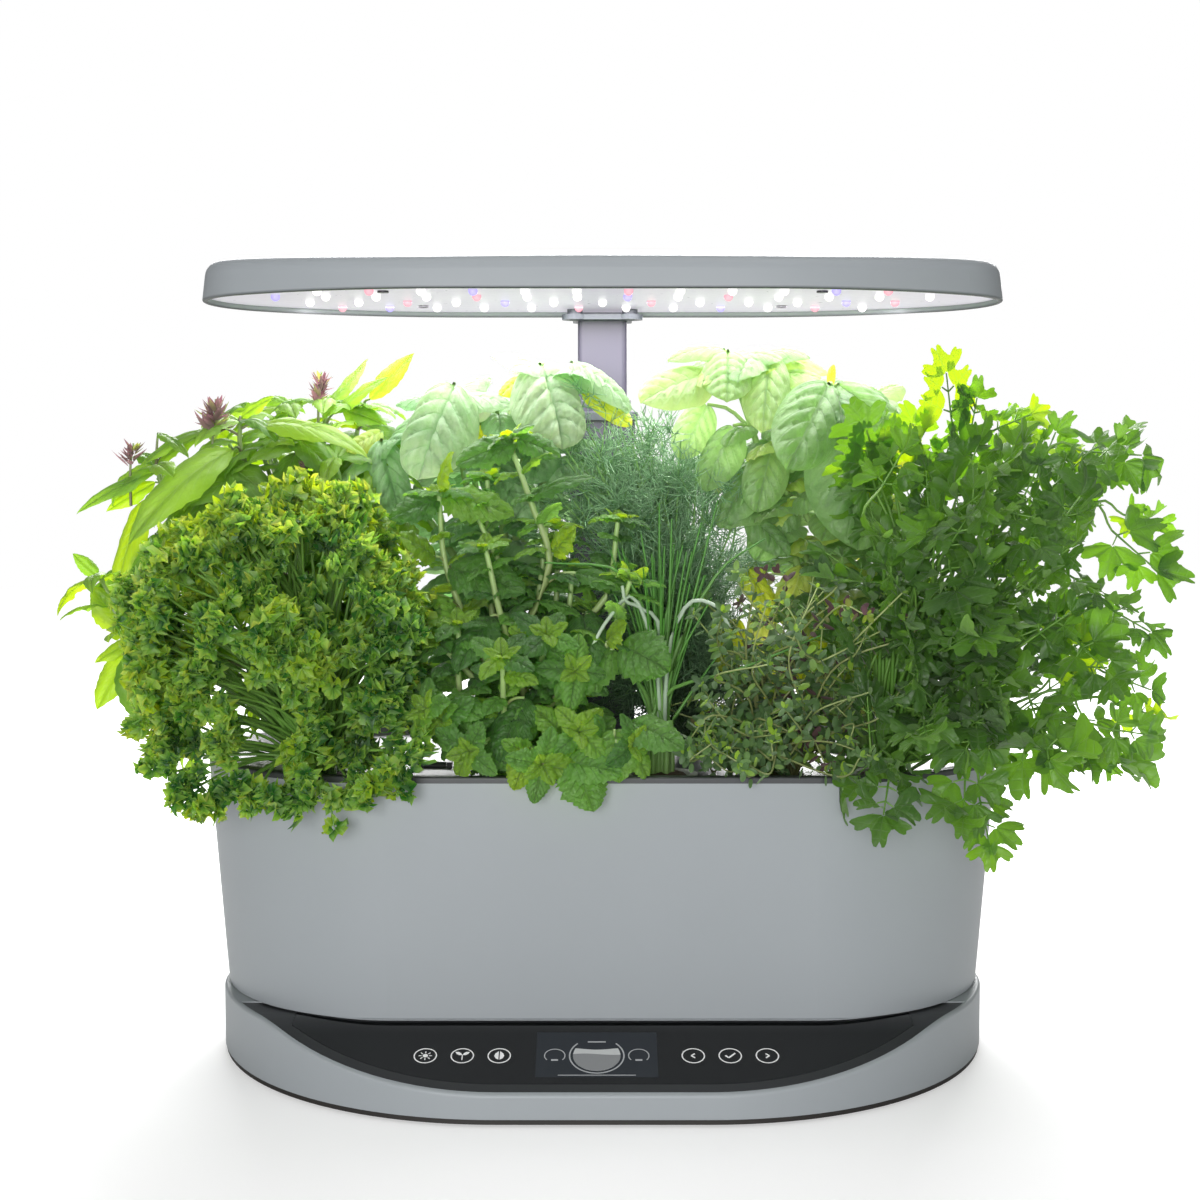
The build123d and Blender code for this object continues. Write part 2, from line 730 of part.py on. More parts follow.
with BuildPart() as fill_lid:
    with BuildSketch(Plane((port_x, front_row, deck_top))):
        Circle(lid_radius)
        Rectangle(lid_tab_width, lid_radius + lid_tab, align=backwards)
        Rectangle(knuckle_length, lid_radius + hinge_setback, align=forwards)
    extrude(amount=lid_thickness)
    with BuildSketch(pin_plane):
        Circle(knuckle_radius)
    extrude(amount=knuckle_length / 2, both=True)
    with BuildSketch(pin_plane):
        Circle(pin_radius + running_gap)
    extrude(amount=knuckle_length, both=True, mode=Mode.SUBTRACT)
keep(fill_lid, "fill_lid")

# ------------------------------------------------------------------ level float
float_bore = float_radius + float_play
float_rest = float_guide_bottom + float_lip

with BuildPart() as float_guide:
    with BuildSketch(Plane((*float_place, float_guide_bottom))):
        Circle(float_bore + float_guide_wall)
        Circle(float_bore, mode=Mode.SUBTRACT)
    extrude(amount=plate_bottom - float_guide_bottom)
    with BuildSketch(Plane((*float_place, float_guide_bottom))):
        Circle(float_bore + float_guide_wall)
        Circle(float_bore - float_lip_width, mode=Mode.SUBTRACT)
    extrude(amount=float_lip)
keep(float_guide, "float_guide")

with BuildPart() as level_float:
    with BuildSketch(Plane((*float_place, float_rest))):
        Circle(float_radius)
    extrude(amount=float_height)
    with BuildSketch(Plane((*float_place, float_rest))):
        Circle(float_stem_radius)
    extrude(amount=deck_top - float_rest)
keep(level_float, "level_float")

# ------------------------------------------------------------------ pods
herb_names = ("curly_parsley", "mint", "chives", "thyme", "flat_parsley",
              "thai_basil", "sweet_basil", "dill", "leafy_basil")
basket_bottom = deck_top - pod_depth
plug_depth = pod_depth + pod_rim_thickness - pod_wall
sponge_depth = plug_depth - face_gap

for (x, y), herb in zip(pod_places, herb_names):
    with BuildPart() as pod_basket:
        with Locations((x, y, basket_bottom)):
            Cone(pod_bottom_radius, pod_radius, pod_depth, align=upwards)
        with Locations((x, y, deck_top)):
            Cylinder(pod_rim, pod_rim_thickness, align=upwards)
        with Locations((x, y, basket_bottom + pod_wall)):
            Cone(pod_bottom_radius - pod_wall, pod_radius - pod_wall, plug_depth, align=upwards,
                 mode=Mode.SUBTRACT)
        # windows that the roots grow through
        with BuildSketch(Plane((x, y, basket_bottom + pod_window_from_ends))):
            with PolarLocations(0, 3):
                Rectangle(2 * pod_rim, pod_window_width)
        extrude(amount=pod_depth - 2 * pod_window_from_ends, mode=Mode.SUBTRACT)
    keep(pod_basket, f"pod_basket_{herb}")

# ------------------------------------------------------------------ herbs
back_edge = rim_back - plant_back_inset
growing_room = hood_bottom - rim_height


def crown_outline(width, depth):
    """Oval of flats that touch the four sides of a rectangle."""
    reach = 0.5 / cos(pi / crown_sides)
    turns = [(2 * side + 1) * pi / crown_sides for side in range(crown_sides)]
    with BuildSketch(mode=Mode.PRIVATE) as outline:
        Polygon(*[(width * reach * cos(turn), depth * reach * sin(turn)) for turn in turns])
    return outline.sketch


def crown(place, left, right, front, back, opens, share, widest, top):
    """Closed body of one herb: the sponge in its basket, and a stem with a crown on top of it.

    The stem leans out towards the middle of the crown, and the top stands back over the pod. The
    crown has opened out to a share of its size at opens, is widest part of the way up from there,
    and is domed up to top. Both heights are shares of the room between the rim and the hood.
    """
    middle = ((left + right) / 2, (front + back) / 2)
    leaning, sloping, peak = (
        tuple(foot + way * (end - foot) for foot, end in zip(place, middle))
        for way in (crown_lean, 1 - crown_return / 2, 1 - crown_return)
    )
    size = (right - left, back - front)
    low = rim_height + opens * growing_room
    high = rim_height + top * growing_room
    wide = low + widest * (high - low)
    shoulder = wide + 0.7 * (high - wide)
    with BuildPart(mode=Mode.PRIVATE) as herb:
        with BuildSketch(Plane((*place, pod_seat))):
            add(crown_outline(2 * stem_radius, 2 * stem_radius))
        for centre, height, part in ((leaning, low, share), (middle, wide, 1.0), (sloping, shoulder, 0.74),
                                     (peak, high, 0.3)):
            with BuildSketch(Plane((*centre, height))):
                add(crown_outline(part * size[0], part * size[1]))
        loft(ruled=True)
        with Locations((*place, basket_bottom + pod_wall)):
            Cone(pod_bottom_radius - pod_wall - fit_gap, pod_radius - pod_wall - fit_gap, sponge_depth,
                 align=upwards)
    return herb.part


def lines_between(pods, shifts):
    """Lines between the crowns of neighbouring pods, each shifted from the middle."""
    return [(left + right) / 2 + shift for left, right, shift in zip(pods, pods[1:], shifts)]


def front_crown(left, right, lean, **form):
    """Sides of a crown in the front row, which leans forward by a share of its pod's inset."""
    return dict(left=left + leaf_gap / 2, right=right - leaf_gap / 2,
                front=rim_front - lean * front_pod_inset, back=row_line - leaf_gap / 2, **form)


def back_crown(left, right, back, **form):
    """Sides of a crown in the back row."""
    return dict(left=left + leaf_gap / 2, right=right - leaf_gap / 2, front=row_line + leaf_gap / 2,
                back=back, **form)


front_edges = [-rim_half_width - curly_overhang, *lines_between(front_pods, front_shifts),
               rim_half_width + wide_overhang]
back_edges = [-rim_half_width - wide_overhang, *lines_between(back_pods, back_shifts),
              rim_half_width - leafy_inset]
behind_pods = back_row + back_reach
crowns = {
    "curly_parsley": front_crown(*front_edges[0:2], 0.72, opens=0.08, share=0.7, widest=0.46, top=0.59),
    "mint": front_crown(*front_edges[1:3], 0.54, opens=0.125, share=0.62, widest=0.53, top=0.74),
    "chives": front_crown(*front_edges[2:4], 0.0, opens=0.125, share=0.55, widest=0.6, top=0.57),
    "thyme": front_crown(*front_edges[3:5], 0.56, opens=0.08, share=0.7, widest=0.5, top=0.45),
    "flat_parsley": front_crown(*front_edges[4:6], 0.44, opens=0.16, share=0.5, widest=0.48, top=0.72),
    "thai_basil": back_crown(*back_edges[0:2], behind_pods, opens=0.2, share=0.5, widest=0.5, top=0.923),
    "sweet_basil": back_crown(*back_edges[1:3], back_edge, opens=0.22, share=0.5, widest=0.6, top=0.907),
    "dill": back_crown(*back_edges[2:4], back_edge, opens=0.16, share=0.55, widest=0.58, top=0.81),
    "leafy_basil": back_crown(*back_edges[3:5], behind_pods, opens=0.26, share=0.5, widest=0.6, top=0.939),
}

with BuildPart() as mast_room:
    # wedge kept free of leaves in front of and beside the mast
    tip = (0, mast_y - mast_room_front)
    with BuildSketch(Plane.XY.offset(flange_top + fit_gap)):
        with BuildLine():
            Polyline(tip, (-mast_room_x, back_edge + 1), (mast_room_x, back_edge + 1), tip)
        make_face()
    extrude(amount=growing_room)

for place, herb in zip(pod_places, herb_names):
    with BuildPart() as herb_body:
        add(crown(place, **crowns[herb]))
        add(mast_room.part, mode=Mode.SUBTRACT)
    keep(herb_body, f"herb_{herb}")

# ------------------------------------------------------------------ lamp hood
roof_top = hood_bottom + hood_height
reflector_bottom = hood_bottom + reflector_sink
board_bottom = reflector_bottom + reflector_thickness
board_top = board_bottom + led_board_thickness
hood_boss = screw_radius + boss_wall
bracket_screw_y = mast_y - bracket_screw_setback
bracket_screws_at = [(-bracket_screw_x, bracket_screw_y), (bracket_screw_x, bracket_screw_y)]
reflector_places = [(x, hood_centre + y) for x, y in reflector_screws_at]


def hood_plane(height):
    return Plane((0, hood_centre, height))


def under_roof(drop=0.0):
    """Everything below the roof's gentle crown, which curves both ways, lowered by drop."""
    half_angle = 16.0          # enough to pass the front and the back of the hood
    axis_height = roof_top - hood_crown_across - drop
    tip = radians(half_angle)
    start = Plane((0, hood_centre, axis_height), x_dir=(1, 0, 0), z_dir=(0, -cos(tip), sin(tip)))
    end_x = hood_half_width + beyond
    edge = hood_crown_across - end_x**2 / (2 * hood_crown_along)
    foot = hood_crown_across - hood_height - beyond
    with BuildPart(mode=Mode.PRIVATE) as block:
        with BuildSketch(start):
            with BuildLine():
                ThreePointArc((-end_x, edge), (0, hood_crown_across), (end_x, edge))
                Polyline((end_x, edge), (end_x, foot), (-end_x, foot), (-end_x, edge))
            make_face()
        revolve(axis=Axis((0, hood_centre, axis_height), (1, 0, 0)), revolution_arc=2 * half_angle)
    return block.part


with BuildPart() as hood_room:
    with BuildSketch(hood_plane(board_bottom)):
        add(hood_oval(2 * hood_wall + roof_wall))
    extrude(amount=hood_height)
    add(under_roof(roof_wall), mode=Mode.INTERSECT)
    with BuildSketch(Plane.XY.offset(board_top)):
        with Locations(*bracket_screws_at, *reflector_places):
            Circle(hood_boss)
    extrude(amount=hood_height, mode=Mode.SUBTRACT)

with BuildPart() as hood_shell:
    with BuildSketch(hood_plane(hood_bottom)):
        add(hood_oval())
    extrude(amount=hood_height + roof_wall, taper=hood_side_taper)
    add(under_roof(), mode=Mode.INTERSECT)
    fillet(hood_shell.faces().sort_by(Axis.Z)[-1].outer_wire().edges(), hood_round)
    fillet(hood_shell.faces().sort_by(Axis.Z)[0].outer_wire().edges(), hood_edge_round)
    with BuildSketch(hood_plane(hood_bottom)):
        add(hood_oval(hood_wall))
    extrude(amount=board_bottom - hood_bottom, mode=Mode.SUBTRACT)
    add(hood_room.part, mode=Mode.SUBTRACT)
    with BuildSketch(Plane.XY.offset(board_top)):
        with Locations(*bracket_screws_at, *reflector_places):
            Circle(screw_radius)
    extrude(amount=screw_bite, mode=Mode.SUBTRACT)
keep(hood_shell, "hood_shell")

led_places = {"white": [], "red": [], "blue": []}
for row, (y, count) in enumerate(zip(led_row_lines, led_row_counts)):
    for i in range(count):
        x = (i - (count - 1) / 2) * led_pitch
        colour = "red" if (i + 2 * row) % 5 == 1 else "blue" if (i + 3 * row) % 7 == 3 else "white"
        led_places[colour].append((x, hood_centre + y))

with BuildPart() as reflector_panel:
    with BuildSketch(hood_plane(reflector_bottom)):
        add(hood_oval(hood_wall + fit_gap))
    extrude(amount=reflector_thickness)
    with BuildSketch(Plane.XY.offset(reflector_bottom)):
        with Locations(*led_places["white"], *led_places["red"], *led_places["blue"]):
            Rectangle(led_window, led_window)
        with Locations(*bracket_screws_at):
            Circle(pad_radius + fit_gap)
        with Locations(*reflector_places):
            Circle(screw_radius + fit_gap)
    extrude(amount=reflector_thickness, mode=Mode.SUBTRACT)
keep(reflector_panel, "reflector_panel")

with BuildPart() as led_board:
    with BuildSketch(hood_plane(board_bottom)):
        add(hood_oval(hood_wall + led_board_inset))
    extrude(amount=led_board_thickness)
    with BuildSketch(Plane.XY.offset(board_bottom)):
        with Locations(*bracket_screws_at):
            Circle(pad_radius + fit_gap)
        with Locations(*reflector_places):
            Circle(screw_radius + fit_gap)
    extrude(amount=led_board_thickness, mode=Mode.SUBTRACT)
keep(led_board, "led_board")

for colour, places in led_places.items():
    with BuildPart() as led_group:
        with BuildSketch(Plane.XY.offset(reflector_bottom - led_proud)):
            with Locations(*places):
                Rectangle(led_size, led_size)
        extrude(amount=board_bottom - reflector_bottom + led_proud)
    keep(led_group, f"{colour}_leds")

with BuildPart() as hood_bracket:
    # dog-bone plate with an ear at each screw
    with BuildSketch(Plane.XY.offset(bracket_bottom)):
        with Locations((0, mast_y + inner_depth / 2 + bracket_border)):
            Rectangle(inner_width + 2 * bracket_border, inner_depth + bracket_screw_setback, align=backwards)
        with Locations(*bracket_screws_at):
            Circle(bracket_ear_radius)
    extrude(amount=bracket_thickness)
    fillet(hood_bracket.edges().filter_by(Axis.Z).group_by(Axis.Y)[-1], bracket_corner)
    # plug that fills the end of the mast
    with BuildSketch(Plane((0, mast_y, bracket_bottom - bracket_spigot))):
        RectangleRounded(*grown(inner_inside, -face_gap), mast_corner - mast_wall)
    extrude(amount=bracket_spigot)
    # pads that pass through the reflector and meet the bosses of the hood
    with BuildSketch(Plane.XY.offset(hood_bottom)):
        with Locations(*bracket_screws_at):
            Circle(pad_radius)
    extrude(amount=board_top - hood_bottom)
    with BuildSketch(Plane.XY.offset(bracket_bottom)):
        with Locations(*bracket_screws_at):
            Circle(screw_radius + fit_gap)
    extrude(amount=board_top - bracket_bottom, mode=Mode.SUBTRACT)
    with BuildSketch(Plane.XY.offset(bracket_bottom)):
        with Locations(*bracket_screws_at):
            Circle(screw_head + fit_gap)
    extrude(amount=bracket_head_depth, mode=Mode.SUBTRACT)
keep(hood_bracket, "hood_bracket")

with BuildPart() as bracket_screws:
    head_bottom = bracket_bottom + bracket_head_depth - screw_head_height
    add(screws(bracket_screws_at, head_bottom, board_top + screw_bite))
keep(bracket_screws, "bracket_screws")

with BuildPart() as reflector_screws:
    add(screws(reflector_places, reflector_bottom - screw_head_height, board_top + screw_bite))
keep(reflector_screws, "reflector_screws")
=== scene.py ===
import bmesh
import bpy
import numpy as np
from math import atan2, cos, pi, radians, sin, sqrt, tan
from mathutils import Matrix, Vector


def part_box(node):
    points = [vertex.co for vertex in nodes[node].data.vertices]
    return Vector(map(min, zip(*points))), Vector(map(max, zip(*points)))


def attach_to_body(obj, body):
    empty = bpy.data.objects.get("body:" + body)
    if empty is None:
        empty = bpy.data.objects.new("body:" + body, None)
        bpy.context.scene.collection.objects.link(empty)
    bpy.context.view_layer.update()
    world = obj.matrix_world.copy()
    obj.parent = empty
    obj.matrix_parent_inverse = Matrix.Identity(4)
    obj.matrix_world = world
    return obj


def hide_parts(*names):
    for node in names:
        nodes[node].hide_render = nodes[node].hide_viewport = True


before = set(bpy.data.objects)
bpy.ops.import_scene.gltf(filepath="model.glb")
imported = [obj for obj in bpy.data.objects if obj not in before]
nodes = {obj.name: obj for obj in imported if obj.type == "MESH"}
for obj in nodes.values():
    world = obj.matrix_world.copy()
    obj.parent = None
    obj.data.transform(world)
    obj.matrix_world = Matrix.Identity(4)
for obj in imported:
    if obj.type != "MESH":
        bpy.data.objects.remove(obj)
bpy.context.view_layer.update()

# ------------------------------------------------------------------ studio
# A pale sweep with soft daylight all round and a wide soft box in front above the camera. Two
# more stand behind the plants, so that light comes through the leaves, and the lamp's own light
# falls on them from under the hood. The lens looks slightly down.
camera_distance = 0.994
camera_height = 0.312
camera_tilt = radians(3.9)
camera_focal = 54.33
camera_aside = -0.0014
film_width = 36.0
white = (1.0, 1.0, 1.0)


def placed(name, data):
    """Object of a camera, a light or a mesh, set in the scene."""
    item = bpy.data.objects.new(name, data)
    bpy.context.scene.collection.objects.link(item)
    return item


camera = placed("camera", bpy.data.cameras.new("camera"))
camera.location = (camera_aside, -camera_distance, camera_height)
camera.rotation_euler = (pi / 2 - camera_tilt, 0, 0)
camera.data.lens = camera_focal
camera.data.sensor_width = film_width
camera.data.clip_start = 0.01
bpy.context.scene.camera = camera
bpy.context.scene.view_settings.view_transform = "Standard"


def feed(socket, value):
    """Link a socket to the output of another node, or set it to a number, a colour or a vector."""
    if isinstance(value, bpy.types.NodeSocket):
        socket.id_data.links.new(value, socket)
    else:
        socket.default_value = (*value, 1) if socket.type == "RGBA" else value


def set_sockets(node, **sockets):
    """Feed sockets of a node by name."""
    for name, value in sockets.items():
        feed(node.inputs[name.replace("_", " ")], value)


def new_node(tree, kind, **sockets):
    """New shader node with its sockets fed by name."""
    node = tree.nodes.new(f"ShaderNode{kind}")
    set_sockets(node, **sockets)
    return node


def maths(tree, operation, *values):
    """Result of a calculation with up to three values."""
    node = new_node(tree, "Math")
    node.operation = operation
    for socket, value in zip(node.inputs, values):
        feed(socket, value)
    return node.outputs[0]


def own_place(tree):
    """Place of a point in the frame of its own piece."""
    return new_node(tree, "TexCoord").outputs["Object"]


def seen_directly(tree):
    """1 where a surface is seen by the camera or through glass, 0 where it lights or is reflected."""
    path = new_node(tree, "LightPath").outputs
    return maths(tree, "MAXIMUM", path["Is Camera Ray"], path["Is Transmission Ray"])


def shader_of(material):
    return material.node_tree.nodes["Principled BSDF"]


def new_material(name):
    """Material, its node tree and its Principled shader."""
    material = bpy.data.materials.new(name)
    material.use_nodes = True
    return material, material.node_tree, shader_of(material)


day_level = 0.24
world = bpy.data.worlds.new("studio")
world.use_nodes = True
bpy.context.scene.world = world
sky = world.node_tree
sky.nodes.clear()
sky_level = new_node(sky, "MapRange", Value=seen_directly(sky), To_Min=day_level)
daylight = new_node(sky, "Background", Color=white, Strength=sky_level.outputs["Result"])
new_node(sky, "OutputWorld", Surface=daylight.outputs["Background"])


def soft_box(name, place, target, size, power):
    """Rectangular light that points at a target."""
    lamp = placed(name, bpy.data.lights.new(name, "AREA"))
    lamp.data.shape = "RECTANGLE"
    lamp.data.size, lamp.data.size_y = size
    lamp.data.energy = power
    lamp.location = place
    lamp.rotation_euler = (Vector(target) - Vector(place)).to_track_quat("-Z", "Y").to_euler()
    return lamp


soft_box("front_box", (-0.25, -1.9, 0.4), (0, 0, 0.2), (0.9, 0.7), 24)
soft_box("top_box", (0.1, -0.2, 1.9), (0, 0, 0.2), (1.6, 1.2), 8)
soft_box("back_box_left", (-0.3, 1.5, 1.1), (-0.1, 0, 0.25), (0.8, 0.9), 32)
soft_box("back_box_right", (0.4, 1.5, 0.9), (0.1, 0, 0.25), (0.8, 0.9), 30)
lamp_low, lamp_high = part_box("reflector_panel")
lamp_glow = soft_box("lamp_glow", (0, (lamp_low[1] + lamp_high[1]) / 2, lamp_low[2] - 0.001), (0, 0.01, 0.1),
                     (0.8 * (lamp_high[0] - lamp_low[0]), 0.7 * (lamp_high[1] - lamp_low[1])), 1.0)
lamp_glow.data.color = (1.0, 0.96, 1.0)
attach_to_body(lamp_glow, "lamp")

floor_half = 4.0
floor_data = bpy.data.meshes.new("floor")
floor_data.from_pydata([(-floor_half, -floor_half, 0), (floor_half, -floor_half, 0),
                        (floor_half, floor_half, 0), (-floor_half, floor_half, 0)], [], [(0, 1, 2, 3)])
floor = placed("floor", floor_data)
floor_paint, floor_tree, floor_shader = new_material("floor_paint")
floor_reach = new_node(floor_tree, "VectorMath", Vector=own_place(floor_tree))
floor_reach.operation = "LENGTH"
floor_fade = new_node(floor_tree, "MapRange", Value=floor_reach.outputs["Value"],
                      From_Min=0.30, From_Max=0.75, To_Min=0.45)
floor_glow = maths(floor_tree, "MULTIPLY", seen_directly(floor_tree), floor_fade.outputs["Result"])
set_sockets(floor_shader, Base_Color=(0.62, 0.62, 0.62), Roughness=0.9, Emission_Color=white,
            Emission_Strength=floor_glow)
floor_data.materials.append(floor_paint)

# ------------------------------------------------------------------ base housing
# The base is one injection-moulded shell in satin cool grey. Its skin has the very fine spark
# texture of the mould, hardly any gloss, and a trace of uneven tone over its length.


def new_group(name, inputs, outputs):
    """Empty shader node group with named inputs and outputs: (tree, given values, output node)."""
    tree = bpy.data.node_groups.new(name, "ShaderNodeTree")
    for label, start in inputs.items():
        kind = "NodeSocketColor" if isinstance(start, tuple) else "NodeSocketFloat"
        tree.interface.new_socket(label, in_out="INPUT", socket_type=kind).default_value = start
    for label, kind in outputs.items():
        tree.interface.new_socket(label, in_out="OUTPUT", socket_type=f"NodeSocket{kind}")
    return tree, tree.nodes.new("NodeGroupInput").outputs, tree.nodes.new("NodeGroupOutput")


def noise(tree, vector, scale, detail=3.0, roughness=0.5):
    """Cloudy pattern between 0 and 1."""
    return new_node(tree, "TexNoise", Vector=vector, Scale=scale, Detail=detail,
                    Roughness=roughness).outputs["Fac"]


def mixed(tree, factor, first, second, kind="MIX"):
    """Colour between two colours, each a socket or a plain (r, g, b)."""
    node = new_node(tree, "Mix")
    node.data_type = "RGBA"
    node.blend_type = kind
    feed(node.inputs["Factor"], factor)
    feed(node.inputs[6], first)
    feed(node.inputs[7], second)
    return node.outputs[2]


def build_moulded_skin():
    """Spark-eroded skin of a moulded part: mottled colour, uneven gloss and a fine grain."""
    tree, given, out = new_group(
        "moulded_skin", {"Colour": (0.5, 0.5, 0.5, 1), "Roughness": 0.45, "Grain": 1600.0, "Mottle": 0.03},
        {"Colour": "Color", "Roughness": "Float", "Height": "Float"})
    place = own_place(tree)
    grain = noise(tree, place, given["Grain"])
    cloud = noise(tree, place, 9.0, 4.0)
    swing = maths(tree, "MULTIPLY", maths(tree, "SUBTRACT", cloud, 0.5), given["Mottle"])
    tone = new_node(tree, "HueSaturation", Color=given["Colour"],
                    Value=maths(tree, "MULTIPLY_ADD", swing, 2.0, 1.0))
    rough = maths(tree, "MULTIPLY_ADD", maths(tree, "SUBTRACT", grain, 0.5), 0.12, given["Roughness"])
    set_sockets(out, Colour=tone.outputs["Color"], Roughness=maths(tree, "ADD", rough, swing), Height=grain)
    return tree


moulded_skin = build_moulded_skin()


def place_group(tree, group, **given):
    """Node of a group in a material, with its inputs set by name."""
    node = new_node(tree, "Group")
    node.node_tree = group
    set_sockets(node, **given)
    return node.outputs


def bumped(tree, shader, height, distance):
    """Raise the skin of a shader by a height map, so many metres from its lowest to its highest."""
    bump = new_node(tree, "Bump", Distance=distance, Strength=1.0, Height=height)
    set_sockets(shader, Normal=bump.outputs["Normal"])


def moulded(name, colour, roughness, grain=1600.0, mottle=0.03, depth=0.00002):
    """Finish of a moulded plastic part."""
    material, tree, shader = new_material(name)
    skin = place_group(tree, moulded_skin, Colour=colour, Roughness=roughness, Grain=grain, Mottle=mottle)
    set_sockets(shader, Base_Color=skin["Colour"], Roughness=skin["Roughness"])
    bumped(tree, shader, skin["Height"], depth)
    return material


def finish(material, *names):
    """Give CAD nodes a finish in place of the plain one that they came with."""
    for name in names:
        nodes[name].data.materials.clear()
        nodes[name].data.materials.append(material)


satin_colour, satin_roughness = (0.335, 0.362, 0.382), 0.46
satin_grey = moulded("satin_grey", satin_colour, satin_roughness)
finish(satin_grey, "base_housing")

# ------------------------------------------------------------------ bottom plate, feet and screws
# A dark plate closes the base from below and shows as a thin line above the worktop. Six rubber
# feet sit in its pockets, and four blackened screws hold it.
finish(moulded("dark_plate", (0.022, 0.019, 0.017), 0.55), "base_bottom_plate")
finish(moulded("foot_rubber", (0.018, 0.018, 0.018), 0.8, grain=900.0, depth=0.00005), "rubber_feet")


def metal(name, colour, roughness, streak=(1.0, 1.0, 60.0)):
    """Metal with fine streaks along the way that it was drawn or brushed."""
    material, tree, shader = new_material(name)
    stretch = new_node(tree, "Mapping", Scale=streak, Vector=own_place(tree))
    lines = noise(tree, stretch.outputs["Vector"], 40.0, 5.0, 0.6)
    set_sockets(shader, Base_Color=mixed(tree, lines, tuple(0.88 * part for part in colour), colour),
                Roughness=maths(tree, "MULTIPLY_ADD", lines, 0.2, roughness - 0.1), Metallic=1.0)
    bumped(tree, shader, lines, 0.00001)
    return material


finish(metal("black_steel", (0.10, 0.10, 0.105), 0.4, (30.0, 30.0, 30.0)),
       "base_screws", "bracket_screws", "reflector_screws")

# ------------------------------------------------------------------ control panel
# A satin charcoal frame follows the sloping front, and a gloss black touch lens lies in it with
# white printed keys. Behind the lens is a small display that shows the water in its tank.
finish(moulded("charcoal", (0.022, 0.023, 0.025), 0.36, grain=2200.0, depth=0.00001), "panel_bezel")
finish(moulded("gloss_black", (0.0035, 0.0038, 0.004), 0.09, grain=300.0, mottle=0.01, depth=0.000001),
       "panel_lens")
finish(moulded("display_back", (0.01, 0.012, 0.016), 0.3), "display_module")
finish(moulded("circuit_green", (0.02, 0.10, 0.045), 0.3, grain=500.0), "control_board")

panel_front = 0.1437
panel_edge_height = 0.0157
panel_sink = 0.0005
panel_slope = radians(20)
print_lift = 0.00006
print_thickness = 0.00005
key_row = -0.1146


def on_panel(across, up):
    """Point on the touch lens, from its place across and its distance up the slope from the keys."""
    y = key_row + up * cos(panel_slope)
    height = panel_edge_height - panel_sink + (y + panel_front) * tan(panel_slope)
    return Vector((across, y, height))


def ring_shape(centre, outer, line, start=0.0, end=2 * pi):
    """Ring of a line's width, or a part of one, as (points, faces) in panel coordinates."""
    steps = 48
    turns = [start + (end - start) * i / steps for i in range(steps + 1)]
    points = [(centre[0] + r * cos(a), centre[1] + r * sin(a)) for a in turns for r in (outer, outer - line)]
    return points, [(2 * i, 2 * i + 2, 2 * i + 3, 2 * i + 1) for i in range(steps)]


def polygon_shape(points):
    return list(points), [tuple(range(len(points)))]


def disc_shape(centre, radius):
    steps = 32
    turns = [2 * pi * i / steps for i in range(steps)]
    return polygon_shape([(centre[0] + radius * cos(a), centre[1] + radius * sin(a)) for a in turns])


def stroke_shape(path, width):
    """Quads along a path of points."""
    points, faces = [], []
    for (ax, ay), (bx, by) in zip(path, path[1:]):
        length = sqrt((bx - ax) ** 2 + (by - ay) ** 2)
        nx, ny = -(by - ay) / length * width / 2, (bx - ax) / length * width / 2
        first = len(points)
        points += [(ax + nx, ay + ny), (ax - nx, ay - ny), (bx - nx, by - ny), (bx + nx, by + ny)]
        faces.append((first, first + 1, first + 2, first + 3))
    return points, faces


def printed(name, shapes, material, lift=print_lift):
    """One thin printed layer on the lens, made of flat shapes with a little thickness."""
    up = Vector((0, -sin(panel_slope), cos(panel_slope)))
    points, faces = [], []
    for flat, flat_faces in shapes:
        first, count = len(points), len(flat)
        for level in (lift + print_thickness, lift):
            points += [on_panel(*p) + up * level for p in flat]
        for face in flat_faces:
            faces.append(tuple(first + i for i in face))
            faces.append(tuple(first + count + i for i in reversed(face)))
            faces += [(first + a, first + count + a, first + count + b, first + b)
                      for a, b in zip(face, face[1:] + face[:1])]
    data = bpy.data.meshes.new(name)
    data.from_pydata(points, [], faces)
    data.validate()
    data.materials.append(material)
    piece = placed(name, data)
    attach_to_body(piece, "base")


def ink(name, colour, glow):
    """Printed ink or a lit display area, slightly uneven as screen print is."""
    material = moulded(name, colour, 0.35, grain=4000.0, depth=0.000002)
    set_sockets(shader_of(material), Emission_Color=colour, Emission_Strength=glow)
    return material


key_radius = 0.0058
key_line = 0.0006
icon_line = 0.0005
light_key, plant_key, leaf_key = -0.0879, -0.0696, -0.0513
back_key, enter_key, next_key = 0.0448, 0.0631, 0.0815
key_shapes = [ring_shape((x, 0), key_radius, key_line)
              for x in (light_key, plant_key, leaf_key, back_key, enter_key, next_key)]

# lamp key: a small sun with eight rays
key_shapes.append(disc_shape((light_key, 0), 0.0013))
for ray in range(8):
    turn = pi / 4 * ray
    key_shapes.append(stroke_shape([(light_key + r * cos(turn), r * sin(turn)) for r in (0.0019, 0.0033)],
                                   icon_line))
# plant key: a seedling with two leaves on a short stem
key_shapes.append(stroke_shape([(plant_key, -0.0034), (plant_key, 0.0008)], icon_line))
seedling_leaf = ((0.0002, 0.0006), (0.0014, 0.0004), (0.0029, 0.0014), (0.0036, 0.0030), (0.0018, 0.0029),
                 (0.0006, 0.0019))
# leaf key: one leaf with its midrib left open
half_leaf = ((0.0003, -0.0030), (0.0017, -0.0020), (0.0025, -0.0002), (0.0020, 0.0017), (0.0003, 0.0036))
for key, outline in ((plant_key, seedling_leaf), (leaf_key, half_leaf)):
    for side in (-1, 1):
        key_shapes.append(polygon_shape([(key + side * x, y) for x, y in outline][::side]))
